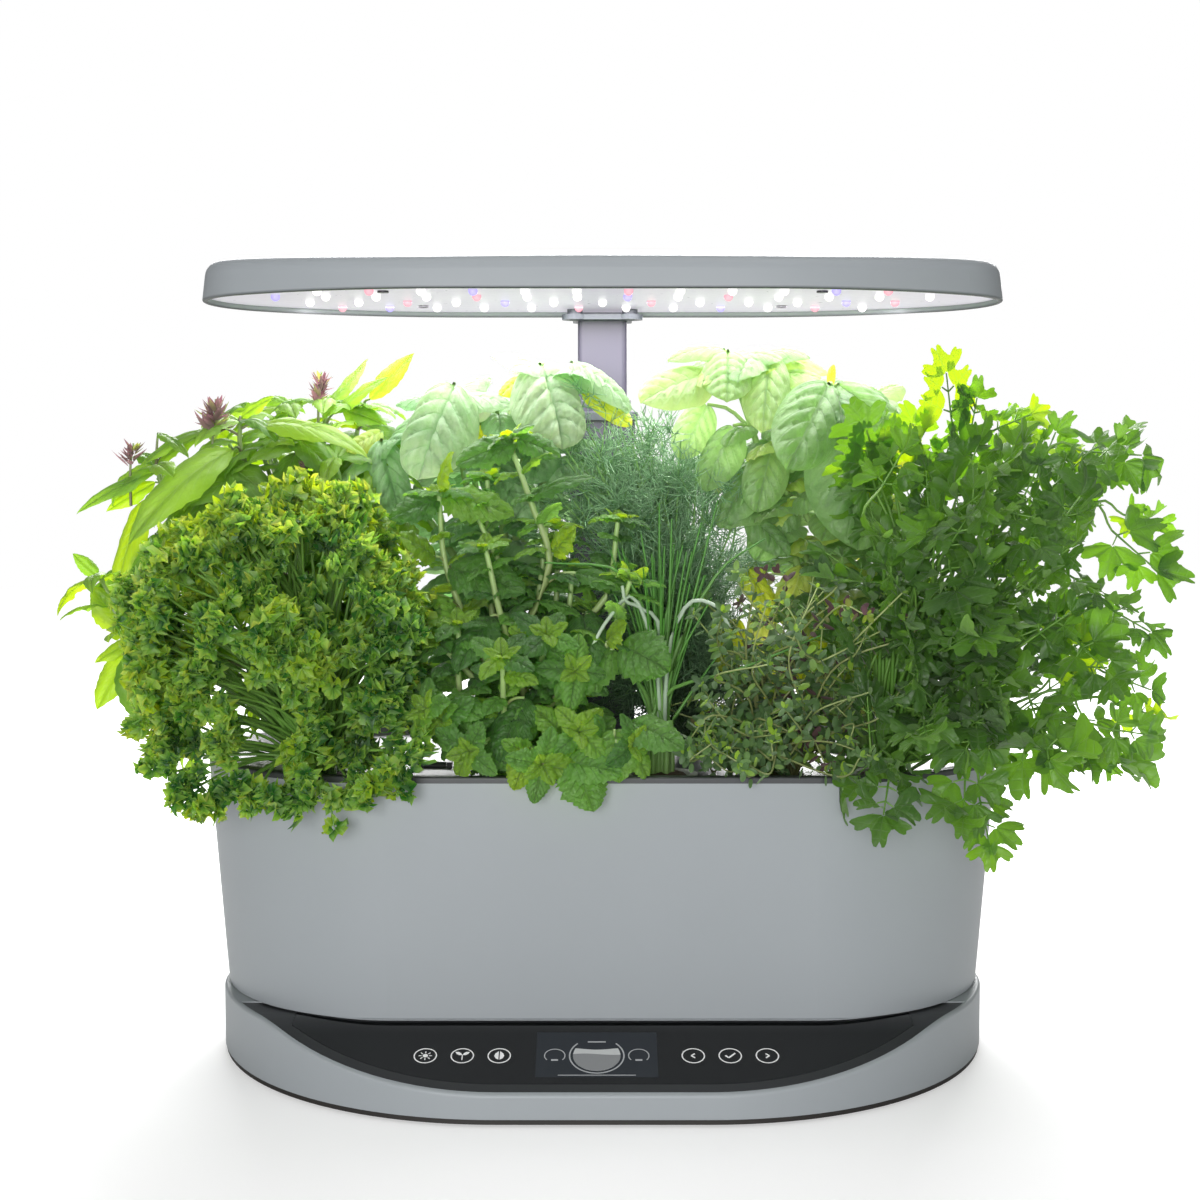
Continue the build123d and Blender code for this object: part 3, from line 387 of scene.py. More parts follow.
# arrows, and a tick for enter
arrow_reach, arrow_line = 0.0016, 0.0008
for key, side in ((back_key, 1), (next_key, -1)):
    key_shapes.append(stroke_shape([(key + side * x, y) for x, y in (
        (0.0008, arrow_reach), (-0.0010, 0.0), (0.0008, -arrow_reach))], arrow_line))
key_shapes.append(stroke_shape([(enter_key - 0.0024, 0.0002), (enter_key - 0.0008, -0.0016),
                                (enter_key + 0.0026, 0.0020)], 0.0009))
printed("key_print", key_shapes, ink("white_ink", (0.82, 0.82, 0.82), 0.12))

# display: dark window, tank ring with two levels of water, and a dial at each side
display_middle = -0.0030
tank_radius, tank_line = 0.0138, 0.0007
dial_offset, dial_radius, dial_line, dial_bar = 0.0208, 0.0053, 0.0005, 0.0017


def water_shape(level, swell, phase):
    """Area of water in the tank ring below a wavy line."""
    depth, steps = 0.0118, 24
    reach = sqrt(depth**2 - level**2)
    wave = [(display_middle - reach + 2 * reach * i / steps,
             level + swell * sin(phase + 1.6 * pi * i / steps)) for i in range(steps + 1)]
    start, end = atan2(level, reach), pi - atan2(level, reach)
    bowl = [(display_middle + depth * cos(a), depth * sin(a))
            for a in (start - (start + 2 * pi - end) * i / steps for i in range(1, steps))]
    return polygon_shape((wave + bowl)[::-1])


def level_stroke(middle, half, height, width):
    """Level line round a middle, on the display."""
    return stroke_shape([(middle - half, height), (middle + half, height)], width)


window_half, window_top, window_foot = 0.0300, 0.0185, -0.0165
window = [(display_middle + side * window_half, height)
          for side, height in ((-1, window_foot), (1, window_foot), (1, window_top), (-1, window_top))]
dials = [display_middle - dial_offset, display_middle + dial_offset]
printed("display_window", [polygon_shape(window)], ink("display_ground", (0.010, 0.013, 0.018), 0.25),
        lift=0.00002)
printed("display_rings", [
    ring_shape((display_middle, 0), tank_radius, tank_line, radians(-225), radians(45)),
    *[ring_shape((dial, 0), dial_radius, dial_line, radians(-40), radians(220)) for dial in dials],
    *[level_stroke(dial, dial_bar, -0.0034, 0.0012) for dial in dials],
    level_stroke(display_middle, 0.0045, 0.0108, 0.0009),
    level_stroke(display_middle, 0.0190, -0.0150, icon_line),
], ink("display_line", (0.30, 0.31, 0.32), 0.35), lift=0.00012)
printed("display_water_low", [water_shape(0.0010, 0.0005, 0.4)],
        ink("display_water", (0.17, 0.175, 0.18), 0.35), lift=0.00018)
printed("display_water_top", [water_shape(0.0052, 0.0006, 2.2)],
        ink("display_water_light", (0.36, 0.37, 0.37), 0.4), lift=0.00012)

# ------------------------------------------------------------------ power inlet
# A round black barrel socket is let into the back of the base. The plug of the mains adapter goes
# in there, so that no cable is fixed to the garden.
finish(moulded("socket_black", (0.012, 0.012, 0.012), 0.35), "power_jack")

# ------------------------------------------------------------------ mast
# Three rectangular aluminium stages slide in each other, each capped by a moulded collar. The
# stages are anodised in a soft grey, and white acetal pads guide them inside.
finish(moulded("stage_grey", (0.078, 0.071, 0.106), 0.36, grain=1200.0, depth=0.000006),
       "mast_outer", "mast_mid", "mast_inner")
finish(moulded("collar_grey", (0.085, 0.095, 0.11), 0.4),
       "mast_outer_collar", "mast_mid_collar", "hood_bracket")
finish(moulded("acetal", (0.80, 0.80, 0.78), 0.3), "mast_mid_glides", "mast_inner_glides")

# ------------------------------------------------------------------ bowl and pump
# The bowl is the same satin grey as the base, moulded in one piece with a smooth, slightly
# tapered wall. A small black pump with a slotted filter stands on its floor.
finish(satin_grey, "grow_bowl")
finish(moulded("pump_black", (0.016, 0.016, 0.017), 0.5),
       "pump_housing", "riser_tube", "impeller", "pump_filter")
finish(metal("ground_steel", (0.55, 0.55, 0.56), 0.25), "pump_shaft", "lid_pin")

# ------------------------------------------------------------------ planting deck
# A dark grey insert closes the bowl: a flange on the rim, a sunk basin with the pod holes, the
# hinged lid of the fill port and the guide of the level float.
finish(moulded("deck_grey", (0.035, 0.038, 0.042), 0.42, grain=1300.0, depth=0.00003),
       "grow_deck", "fill_lid", "float_guide")
finish(moulded("float_white", (0.78, 0.78, 0.75), 0.6, grain=700.0, depth=0.00006), "level_float")

# ------------------------------------------------------------------ pods
# Nine light grey baskets hang in the deck, each with a dark peat sponge that shows on top round
# the stems. The sponge is crumbly and slightly domed.
finish(moulded("basket_grey", (0.42, 0.43, 0.42), 0.5),
       *[name for name in nodes if name.startswith("pod_basket")])


def place_of(herb):
    """Middle of a herb's pod, on top of its sponge."""
    low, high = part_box(f"pod_basket_{herb}")
    return Vector(((low[0] + high[0]) / 2, (low[1] + high[1]) / 2, high[2]))


def attribute(tree, name):
    """Value that the mesh carries under a name."""
    node = new_node(tree, "Attribute")
    node.attribute_name = name
    return node.outputs["Fac"]


peat, peat_tree, peat_shader = new_material("peat")
crumbs = noise(peat_tree, own_place(peat_tree), 900.0, 6.0, 0.7)
set_sockets(peat_shader, Base_Color=mixed(peat_tree, crumbs, (0.012, 0.008, 0.005), (0.075, 0.045, 0.025)),
            Roughness=0.95)
bumped(peat_tree, peat_shader, crumbs, 0.0008)

# ------------------------------------------------------------------ leaves and stems
# Every herb is grown from its pod out of two kinds of surface: blades, which are bent, puckered
# and ruffled sheets that let light through, and stalks, which are thin tapering tubes.


class Growth:
    """Points, faces and surface values of one herb while it grows."""

    def __init__(self, herb, seed):
        self.herb = herb
        self.root = np.array(place_of(herb))
        self.random = np.random.default_rng(seed)
        self.points, self.faces, self.values, self.kinds, self.depths = [], [], [], [], []
        self.count = 0

    def add(self, points, faces, values, kind):
        """Leaves or stalks of one pattern. Their kind is the place of their finish in the herb's list."""
        amount, stride = points.shape[0], points[0].size // 3
        values = np.stack([np.broadcast_to(value, points.shape[:-1]) for value in values], -1)
        self.points.append(points.reshape(-1, 3))
        self.values.append(values.reshape(-1, 3))
        first = self.count + stride * np.arange(amount)
        self.faces.append((faces[None] + first[:, None, None]).reshape(-1, 4))
        self.kinds.append(np.full(len(faces) * amount, kind))
        self.depths.append(np.repeat(points[..., 1].reshape(amount, -1).mean(1), len(faces)))
        self.count += amount * stride

    def feet(self, amount, spread, sink=0.001):
        """So many places near the middle of the pod, just inside its sponge."""
        aside = self.random.uniform(-spread, spread, (2, amount))
        return self.root + np.stack([*aside, np.full(amount, -sink)], 1)


def unit(vectors):
    return vectors / np.maximum(np.linalg.norm(vectors, axis=-1, keepdims=True), 1e-9)


def grid_faces(rows, columns):
    """Quads of a grid of points with so many rows and columns."""
    corner = (np.arange(rows - 1)[:, None] * columns + np.arange(columns - 1)[None, :]).ravel()
    return np.stack([corner, corner + 1, corner + columns + 1, corner + columns], 1)


def tube_faces(rows, sides):
    """Quads of a tube of points with so many rows, each a closed ring."""
    row, j = np.meshgrid(sides * np.arange(rows - 1), np.arange(sides), indexing="ij")
    k = (j + 1) % sides
    return np.stack([row + j, row + k, row + sides + k, row + sides + j], -1).reshape(-1, 4)


def square_to(vectors, others):
    """Unit vectors that stand square to others, each as near as can be to a given one."""
    return unit(vectors - others * (vectors * others).sum(1, keepdims=True))


class Blade:
    """Flat pattern of a leaf: across in half widths, along in lengths, and its relief."""

    def __init__(self, across, along, relief, rim, turn, sideways):
        self.faces = grid_faces(*across.shape)
        self.across, self.along, self.relief, self.rim, self.turn, self.sideways = (
            values.ravel() for values in (across, along, relief, rim, turn, sideways))


def simple_blade(rows, columns, base_power, tip_power, teeth=0, tooth=0.0, veins=6, slant=0.45):
    """Leaf with one midrib: rounded or pointed ends, toothed edge, and swellings between its veins."""
    step = (1 - np.cos(pi * np.linspace(0, 1, rows))) / 2
    side = np.linspace(-1, 1, columns)
    s, u = np.meshgrid(step, side, indexing="ij")
    width = s**base_power * (1 - s)**tip_power
    width /= width.max()
    saw = (s * teeth) % 1.0
    narrowest = 0.012
    width = np.maximum(width * (1 + tooth * (0.5 - saw) * np.abs(u)**4), narrowest)
    cell = veins * (s - slant * np.abs(u) * width * 0.5)
    relief = np.abs(np.sin(pi * cell))**0.5 * np.sin(pi * np.abs(u))**0.6 * width
    relief = relief - 0.5 * np.exp(-(u * width / 0.07)**2)
    return Blade(u * width, s, relief, (u * width)**2, s, u)


def fan_blade(rings, rays, half_angle, lobes, spread, depth, teeth, tooth_count):
    """Leaflet that opens like a fan, with lobes and a toothed edge."""
    ring = np.linspace(0.03, 1, rings)**0.8
    angle = np.linspace(-half_angle, half_angle, rays)
    r, a = np.meshgrid(ring, angle, indexing="ij")
    reach = np.zeros_like(a)
    for middle, size in lobes:
        reach = np.maximum(reach, size * np.exp(-((a - radians(middle)) / radians(spread))**2))
    reach = (1 - depth) + depth * reach
    scallop = np.abs(np.sin(pi / 2 * tooth_count * a / half_angle))**0.6
    reach = reach * (1 + teeth * (scallop - 0.7) * r**2)
    reach *= np.clip((half_angle * 1.04 - np.abs(a)) / radians(22), 0.05, 1)**0.4
    relief = np.sin(a * tooth_count * 0.5)**2 * r
    return Blade(2 * r * reach * np.sin(a), r * reach * np.cos(a), relief, r**1.6, a / half_angle,
                 a / half_angle)


def never_flat(bend):
    """Bend of a leaf in radians, kept off zero, where an arc would have no middle."""
    return np.where(np.abs(bend) < 1e-4, 1e-4, bend)


def on_arc(bend, distance):
    """Way ahead and aside after some distance on an arc that turns by its bend in one length."""
    return np.sin(bend * distance) / bend, (np.cos(bend * distance) - 1) / bend


def grow_blades(growth, blade, base, direction, up, length, width, arch=0.0, curl=0.0, swell=0.0,
                ruffle=0.0, ruffles=3.0, shade=None, kind=0):
    """Many leaves from one pattern. Each has its own base, direction, upper side, size and bend."""
    base, direction, up = (np.atleast_2d(np.asarray(v, float)) for v in (base, direction, up))
    amount = max(len(base), len(direction), len(up))
    random = growth.random

    def spread(value):
        return np.broadcast_to(np.asarray(value, float), (amount,))[:, None]

    length, width, arch, curl, swell, ruffle, ruffles = (
        spread(v) for v in (length, width, arch, curl, swell, ruffle, ruffles))
    base, direction, up = (np.broadcast_to(v, (amount, 3)) for v in (base, direction, up))
    forward = unit(direction)
    side = unit(np.cross(forward, up))
    normal = np.cross(side, forward)
    along, across = blade.along[None, :], blade.across[None, :]
    bend = never_flat(arch)
    run, drop = on_arc(bend, along)
    aside, sag = on_arc(never_flat(curl), across)
    height = sag * width / 2 + swell * width * blade.relief[None, :]
    phase = random.uniform(0, 2 * pi, (amount, 1))
    second = random.uniform(0, 2 * pi, (amount, 1))
    waves = np.sin(ruffles * 2 * pi * blade.turn[None, :] + phase)
    waves = waves + 0.5 * np.sin(ruffles * 3.7 * pi * blade.turn[None, :] * np.sign(across) + second)
    height = height + ruffle * width * blade.rim[None, :] * waves
    points = (base[:, None, :] + side[:, None, :] * (aside * width / 2)[..., None]
              + forward[:, None, :] * (run * length + height * np.sin(bend * along))[..., None]
              + normal[:, None, :] * (drop * length + height * np.cos(bend * along))[..., None])
    if shade is None:
        shade = random.uniform(0, 1, amount)
    growth.add(points, blade.faces, (along, blade.sideways[None, :], spread(shade)), kind)


def curve(points, amount):
    """Smooth path through a few points (Catmull-Rom), as so many points."""
    points = np.asarray(points, float)
    padded = np.vstack([2 * points[0] - points[1], points, 2 * points[-1] - points[-2]])
    at = np.linspace(0, len(points) - 1 - 1e-6, amount)
    i = at.astype(int)
    t = (at - i)[:, None]
    a, b, c, d = padded[i], padded[i + 1], padded[i + 2], padded[i + 3]
    return 0.5 * (2 * b + (c - a) * t + (2 * a - 5 * b + 4 * c - d) * t**2
                  + (3 * b - a - 3 * c + d) * t**3)


def grow_stalks(growth, paths, start, end, sides=5, kind=1):
    """Many thin tubes along paths of equal point count, tapering from a start to an end radius."""
    paths = np.asarray(paths, float)
    amount, count = paths.shape[:2]
    start, end = (np.broadcast_to(np.asarray(v, float), (amount,)) for v in (start, end))
    tangent = unit(np.gradient(paths, axis=1))
    helper = np.where(np.abs(tangent[..., 2:3]) > 0.9, np.array([1.0, 0, 0]), np.array([0, 0, 1.0]))
    aside = unit(np.cross(tangent, helper))
    above = np.cross(aside, tangent)
    turn = 2 * pi * np.arange(sides) / sides
    share = np.linspace(0, 1, count)
    radius = start[:, None] + (end - start)[:, None] * share[None, :]
    ring = (aside[:, :, None, :] * np.cos(turn)[None, None, :, None]
            + above[:, :, None, :] * np.sin(turn)[None, None, :, None])
    points = paths[:, :, None, :] + ring * radius[:, :, None, None]
    shade = growth.random.uniform(0, 1, amount)
    growth.add(points, tube_faces(count, sides),
               (share[None, :, None], turn[None, None, :] / pi - 1, shade[:, None, None]), kind)


# what the leaves keep clear of, and the room that they leave to it
rim_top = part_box("grow_deck")[1][2]
deck_level = place_of("mint")[2] - 0.0016
mast_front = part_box("mast_outer_collar")[0][1]
mast_half_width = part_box("mast_outer_collar")[1][0]
hood_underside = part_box("hood_shell")[0][2]
leaf_clearance, mast_clearance, outline_clearance = 0.0008, 0.004, 0.002
rim_width, least_lift = 0.022, 0.012
faces_of_a_piece = 80000


def under_outline(points, node):
    """How far inside the long oval of a node each point lies, seen from above."""
    low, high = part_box(node)
    half_depth = (high[1] - low[1]) / 2
    beyond = np.maximum(np.abs(points[:, 0]) - (high[0] - half_depth), 0)
    return half_depth - np.hypot(beyond, points[:, 1] - (high[1] + low[1]) / 2)


def bend_out(points, lift):
    """Leaves under the hood that would meet it when their pod is lifted lean forward, clear of it."""
    margin, rise, swing = 0.004, 0.042, 1.3
    inset = under_outline(points, "hood_shell") + margin
    start = hood_underside - lift - rise - 0.003
    share = np.clip((points[:, 2] - start) / rise, 0, 1)
    points[:, 1] -= share**2 * (3 - 2 * share) * swing * np.maximum(inset, 0)


def keep_clear(points, lift):
    """Lift leaves onto the deck and rim that they would cut, and keep them off the mast and the hood."""
    x, y, z = points[:, 0], points[:, 1], points[:, 2]
    inset = under_outline(points, "grow_bowl")
    floor_below = np.where(inset > rim_width, deck_level + leaf_clearance, rim_top + leaf_clearance)
    floor_below = np.where(inset > -outline_clearance, floor_below, -1.0)
    under_hood = under_outline(points, "hood_shell") > -outline_clearance
    ceiling = hood_underside - np.where(under_hood, lift, least_lift)
    points[:, 2] = np.minimum(np.maximum(z, floor_below), ceiling)
    beside_mast = (np.abs(x) < mast_half_width + mast_clearance) & (y > mast_front - mast_clearance)
    points[:, 1] = np.where(beside_mast, mast_front - mast_clearance, y)


def smooth(data):
    """Shade all faces of a mesh as one round surface."""
    data.polygons.foreach_set("use_smooth", np.ones(len(data.polygons), dtype=bool))


def harvest(growth, materials, lift=least_lift, leans=False):
    """Mesh of all that a herb has grown, which rides with its pod, in two halves where it is a lot."""
    points = np.concatenate(growth.points)
    if leans:
        bend_out(points, lift)
    keep_clear(points, lift)
    every_face, every_kind, every_value, depths = (
        np.concatenate(part) for part in (growth.faces, growth.kinds, growth.values, growth.depths))
    if len(depths) > faces_of_a_piece:
        behind = depths > np.median(depths)
        halves = {"front": ~behind, "back": behind}
    else:
        halves = {"plant": np.full(len(depths), True)}
    for half, chosen in halves.items():
        used, faces = np.unique(every_face[chosen], return_inverse=True)
        faces = faces.reshape(-1, 4)
        name = f"{growth.herb}_{half}"
        data = bpy.data.meshes.new(name)
        data.vertices.add(len(used))
        data.vertices.foreach_set("co", points[used].astype(np.float32).ravel())
        data.loops.add(faces.size)
        data.loops.foreach_set("vertex_index", faces.astype(np.int32).ravel())
        data.polygons.add(len(faces))
        data.polygons.foreach_set("loop_start", np.arange(0, faces.size, 4, dtype=np.int32))
        data.update(calc_edges=True)
        for index, layer_name in enumerate(("along", "across", "shade")):
            layer = data.attributes.new(layer_name, "FLOAT", "POINT")
            layer.data.foreach_set("value", np.ascontiguousarray(every_value[used, index], dtype=np.float32))
        for material in materials:
            data.materials.append(material)
        data.polygons.foreach_set("material_index", every_kind[chosen].astype(np.int32))
        smooth(data)
        data.validate()
        piece = placed(name, data)
        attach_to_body(piece, f"pod_{growth.herb}")
        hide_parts(f"herb_{growth.herb}")


def build_leaf_surface():
    """Skin of a leaf: pale veins, a painted highlight towards the tip with painted shade at the foot, tone
    that drifts from leaf to leaf and over each, and a painted lit tone for the highest tones.
    """
    tree, given, out = new_group(
        "leaf_surface",
        {"Dark": (0.02, 0.08, 0.01, 1), "Light": (0.1, 0.3, 0.04, 1), "Lit": (0.5, 0.7, 0.05, 1),
         "Vein": (0.3, 0.5, 0.15, 1), "Veins": 6.0, "Slant": 0.3, "Vein strength": 0.5, "Pucker": 0.5,
         "Edge": 0.0},
        {"Colour": "Color", "Underside": "Color", "Through": "Color", "Roughness": "Float",
         "Height": "Float"})

    def product(*values):
        return maths(tree, "MULTIPLY", *values)

    def less(*values):
        return maths(tree, "SUBTRACT", *values)

    def plus(*values):
        return maths(tree, "ADD", *values)

    def at_least_none(value):
        return maths(tree, "MAXIMUM", value, 0.0)

    along, across_leaf, shade = (attribute(tree, name) for name in ("along", "across", "shade"))
    blotch_scale, pucker_scale, skin_scale = 60.0, 230.0, 900.0
    lit_above_tone, midrib_taper, midrib_sharpness, vein_sharpness = 0.74, 14.0, 16.0, 9.0
    aside = maths(tree, "ABSOLUTE", across_leaf)
    place = own_place(tree)
    blotch = noise(tree, place, blotch_scale, 3.0)
    fine = noise(tree, place, skin_scale, 4.0, 0.6)
    tone = plus(plus(product(shade, 0.62), product(blotch, 0.42)), product(less(fine, 0.5), 0.25))
    # painted highlight: lighter towards the tip of each leaf or leaflet, and painted shade towards its foot
    edge = product(less(along, 0.6), given["Edge"])
    base = mixed(tree, plus(tone, edge), given["Dark"], given["Light"])
    # painted light: leaves of the highest tones turn to the lit colour, as if lit from behind or above
    lit_share = product(at_least_none(less(shade, lit_above_tone)), 3.4)
    base = mixed(tree, lit_share, base, given["Lit"])
    # midrib, and lateral veins that run towards the tip as they leave it
    sharpness = plus(product(along, midrib_taper), midrib_sharpness)
    midrib = at_least_none(less(1.0, product(aside, sharpness)))
    slope = plus(less(along, product(aside, given["Slant"])), product(fine, 0.02))
    lateral = maths(tree, "PINGPONG", product(slope, given["Veins"]), 0.5)
    lateral = at_least_none(less(1.0, product(lateral, vein_sharpness)))
    lateral = product(lateral, less(1.0, product(aside, 0.75)))
    lines = maths(tree, "MAXIMUM", midrib, product(lateral, 0.75))
    colour = mixed(tree, product(lines, given["Vein strength"]), base, given["Vein"])
    glow = new_node(tree, "HueSaturation", Hue=0.48, Saturation=1.12, Value=2.9, Color=base)
    bright = mixed(tree, product(lines, 0.35), glow.outputs["Color"], colour)
    pucker = product(noise(tree, place, pucker_scale, 2.0), given["Pucker"])
    ribs = less(product(fine, 0.25), product(lines, 0.7))
    set_sockets(out, Colour=colour, Underside=mixed(tree, 0.2, colour, (0.42, 0.50, 0.36)),
                Through=mixed(tree, 1.0, bright, (0.95, 0.95, 0.95), "DARKEN"),
                Roughness=maths(tree, "MULTIPLY_ADD", fine, 0.25, 0.34),
                Height=plus(ribs, product(pucker, 4.0)))
    return tree


leaf_surface = build_leaf_surface()


# The edge share is a painted highlight at the tips and painted shade at the feet of the leaves.
def leaf_material(name, dark, light, vein, veins=6.0, slant=0.3, vein_strength=0.5, through=0.42, gloss=0.5,
                  relief=0.0004, pucker=0.3, bloom=0.15, edge=0.0, lit=(0.22, 0.38, 0.02)):
    """Finish of a leaf: part of the light is reflected, and part comes through from behind.

    The underside is paler, and a bloom of fine hairs whitens the skin where it turns away. Leaves of
    the highest tones take the lit tone: painted light, as on leaves lit from behind or from above.
    """
    material, tree, shader = new_material(name)
    surface = place_group(tree, leaf_surface, Dark=dark, Light=light, Vein=vein, Veins=veins, Slant=slant,
                          Vein_strength=vein_strength, Pucker=pucker, Edge=edge, Lit=lit)
    behind = new_node(tree, "NewGeometry").outputs["Backfacing"]
    set_sockets(shader, Base_Color=mixed(tree, behind, surface["Colour"], surface["Underside"]),
                Sheen_Weight=bloom, Sheen_Roughness=0.5, Roughness=surface["Roughness"],
                Specular_IOR_Level=gloss)
    bumped(tree, shader, surface["Height"], relief)
    translucent = new_node(tree, "BsdfTranslucent", Color=surface["Through"])
    blend = new_node(tree, "MixShader", Fac=through)
    feed(blend.inputs[1], shader.outputs["BSDF"])
    feed(blend.inputs[2], translucent.outputs["BSDF"])
    set_sockets(tree.nodes["Material Output"], Surface=blend.outputs["Shader"])
    return material


def stem_material(name, low, high, red=(0.2, 0.06, 0.05), flush=0.15, inner=1.0):
    """Finish of stems: pale ribs over a juicy green, flushed with red near the foot.

    Low in the plant the stem is darker, by the inner share: partly older growth, partly painted shade.
    """
    material, tree, shader = new_material(name)
    place = own_place(tree)
    blotch = noise(tree, place, 120.0, 4.0)
    along = attribute(tree, "along")
    ripe = maths(tree, "MULTIPLY_ADD", blotch, 0.5, maths(tree, "MULTIPLY", along, 0.6))
    body = mixed(tree, ripe, low, high)
    body = mixed(tree, maths(tree, "MULTIPLY", maths(tree, "SUBTRACT", 1.0, along), flush), body, red)
    # painted shade with older growth: darker towards the foot of the plant
    height = new_node(tree, "SeparateXYZ", Vector=place).outputs["Z"]
    age_and_shade = new_node(tree, "MapRange", Value=height, From_Min=0.165, From_Max=0.27, To_Min=inner)
    tone = new_node(tree, "HueSaturation", Value=age_and_shade.outputs["Result"], Color=body)
    set_sockets(shader, Base_Color=tone.outputs["Color"],
                Roughness=maths(tree, "MULTIPLY_ADD", blotch, 0.3, 0.3))
    bumped(tree, shader, blotch, 0.0002)
    return material


def settle_sponge(herb):
    """Peat sponge on top of its pod: a crumbly dome inside the basket's rim."""
    middle = place_of(herb)
    rings, rays = 9, 40
    radius, dome, crumb, edge_drop, seat = 0.0152, 0.0022, 0.0004, 0.002, 0.0008
    around = np.linspace(0, 2 * pi, rays, endpoint=False)
    r, a = np.meshgrid(np.linspace(0.08, 1, rings), around, indexing="ij")
    random = np.random.default_rng(len(herb) + ord(herb[0]))
    height = dome * (1 - r**2) + random.uniform(-crumb, crumb, r.shape) - edge_drop * (r > 0.99)
    points = np.stack([middle[0] + radius * r * np.cos(a), middle[1] + radius * r * np.sin(a),
                       middle[2] - seat + height], -1).reshape(-1, 3)
    outward = tube_faces(rings, rays)[:, [0, 3, 2, 1]]
    data = bpy.data.meshes.new(f"{herb}_sponge")
    data.from_pydata(points.tolist(), [], [*outward.tolist(), list(range(rays))])
    smooth(data)
    data.materials.append(peat)
    data.validate()
    sponge = placed(f"{herb}_sponge", data)
    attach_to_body(sponge, f"pod_{herb}")


for herb in ("curly_parsley", "mint", "chives", "thyme", "flat_parsley", "thai_basil", "sweet_basil", "dill",
             "leafy_basil"):
    settle_sponge(herb)

# ------------------------------------------------------------------ ways of growing
# Leaves are set out either one by one, from foot to tip, or in opposite pairs up a stem that end
# in a rosette. A stalk joins each listed leaf to the nearest stem of its herb.


def metres(rows):
    return np.asarray(rows, float) / 1000


def attach(growth, feet, paths, start, end):
    """Stalk of each leaf, from the nearest point of a stem that is lower than its foot."""
    drop, penalty, bow = 0.002, 2.0, 0.15
    stem_points = np.concatenate([path[2:] for path in paths])
    stalks = []
    for foot in feet:
        gap = foot - stem_points
        cost = np.linalg.norm(gap, axis=1) + penalty * np.maximum(drop - gap[:, 2], 0)
        near = stem_points[np.argmin(cost)]
        middle = (near + foot) / 2 + np.array([0, 0, bow * np.linalg.norm(foot - near)])
        stalks.append(curve([near, middle, foot], 6))
    grow_stalks(growth, stalks, start, end)


def placed_leaves(growth, blade, paths, rows, stalk=(0.0010, 0.0007), **form):
    """Leaves given as (foot, tip, width, arch, shade) in millimetres and radians, with their stalks."""
    foot, tip, width, arch, shade = (np.array(column, float) for column in zip(*rows))
    foot, tip, width = metres(foot), metres(tip), metres(width)
    half = arch / 2
    length = np.linalg.norm(tip - foot, axis=1) * half / np.sin(half)
    forward = unit(tip - foot)
    above = square_to(np.array([0.0, -0.65, 0.75]) + growth.random.normal(0, 0.22, forward.shape), forward)
    start = forward * np.cos(half)[:, None] + above * np.sin(half)[:, None]
    grow_blades(growth, blade, foot, start, above, length, width, arch=arch, shade=shade, **form)
    attach(growth, foot, paths, *stalk)


def stems_to(growth, tips, start, end, count=16):
    """Stems from the pod, one for each list of points that it passes through."""
    paths = [curve(np.vstack([growth.feet(1, 0.006), metres(points)]), count) for points in tips]
    grow_stalks(growth, paths, start, end, sides=7)
    return paths


def knees(growth, feet, aims, aside, up, wander, lowest=0.0):
    """Where stems bend on the way from their feet to their aims, by their share of it aside and up."""
    bends = feet + (aims - feet) * np.array([aside, aside, up]) + growth.random.normal(0, wander, feet.shape)
    bends[:, 2] = np.maximum(bends[:, 2], lowest)
    return bends


def round_a_stem(tangent):
    """Two directions square to a stem and to each other."""
    aside = unit(np.cross(tangent, [0.13, 0.21, 0.97] if abs(tangent[2]) < 0.9 else [1.0, 0.2, 0]))
    return aside, np.cross(tangent, aside)


def leaf_pairs(growth, blade, path, pitch, size, slim, rise=0.55, first=0.25, rosette=4, droop=0.7,
               shade=(0, 1), **form):
    """Opposite pairs of leaves up a stem, each pair across the last, and a rosette at its tip."""
    random = growth.random
    stem_radius, look_ahead, rosette_ring, rosette_lit_tone = 0.001, 0.004, 4, 0.95
    steps = np.linalg.norm(np.diff(path, axis=0), axis=1)
    reach = np.concatenate([[0], np.cumsum(steps)])
    stations = np.arange(first * reach[-1], reach[-1] - 0.3 * pitch, pitch)
    turn = random.uniform(0, pi)
    base, way, above, length = [], [], [], []

    def stem_at(distance):
        return np.array([np.interp(distance, reach, path[:, axis]) for axis in range(3)])

    for number, station in enumerate(stations):
        at = stem_at(station)
        tangent = unit(stem_at(min(station + look_ahead, reach[-1])) - at + np.array([0, 0, 1e-5]))
        aside, front = round_a_stem(tangent)
        spin = turn + number * pi / 2 + random.normal(0, 0.2)
        share = station / reach[-1]
        for side in (0, pi):
            out_way = aside * cos(spin + side) + front * sin(spin + side)
            base.append(at + out_way * stem_radius)
            way.append(out_way + tangent * rise * random.uniform(0.7, 1.4))
            above.append(tangent - out_way * 0.2 + random.normal(0, 0.15, 3))
            length.append(size * (1.15 - 0.45 * share) * random.uniform(0.8, 1.15))
    tangent = unit(path[-1] - path[-2])
    aside, front = round_a_stem(tangent)
    for number in range(rosette):
        inner = number // rosette_ring
        spin = turn + number * pi / 2 + inner * pi / 4
        out_way = aside * cos(spin) + front * sin(spin)
        base.append(path[-1])
        way.append(out_way + tangent * (0.45 + 0.9 * inner))
        above.append(tangent + random.normal(0, 0.1, 3))
        length.append(size * (0.8 - 0.32 * inner) * random.uniform(0.85, 1.1))
    length = np.array(length)
    tone = random.uniform(*shade, len(length))
    # The inner rosette leaves, the young ones at the top of the shoot, take the painted lit tone.
    if rosette > rosette_ring:
        tone[rosette_ring - rosette:] = rosette_lit_tone
    grow_blades(growth, blade, base, way, above, length, length * slim,
                arch=random.uniform(0.4, 1.3, len(length)) * droop, shade=tone, **form)
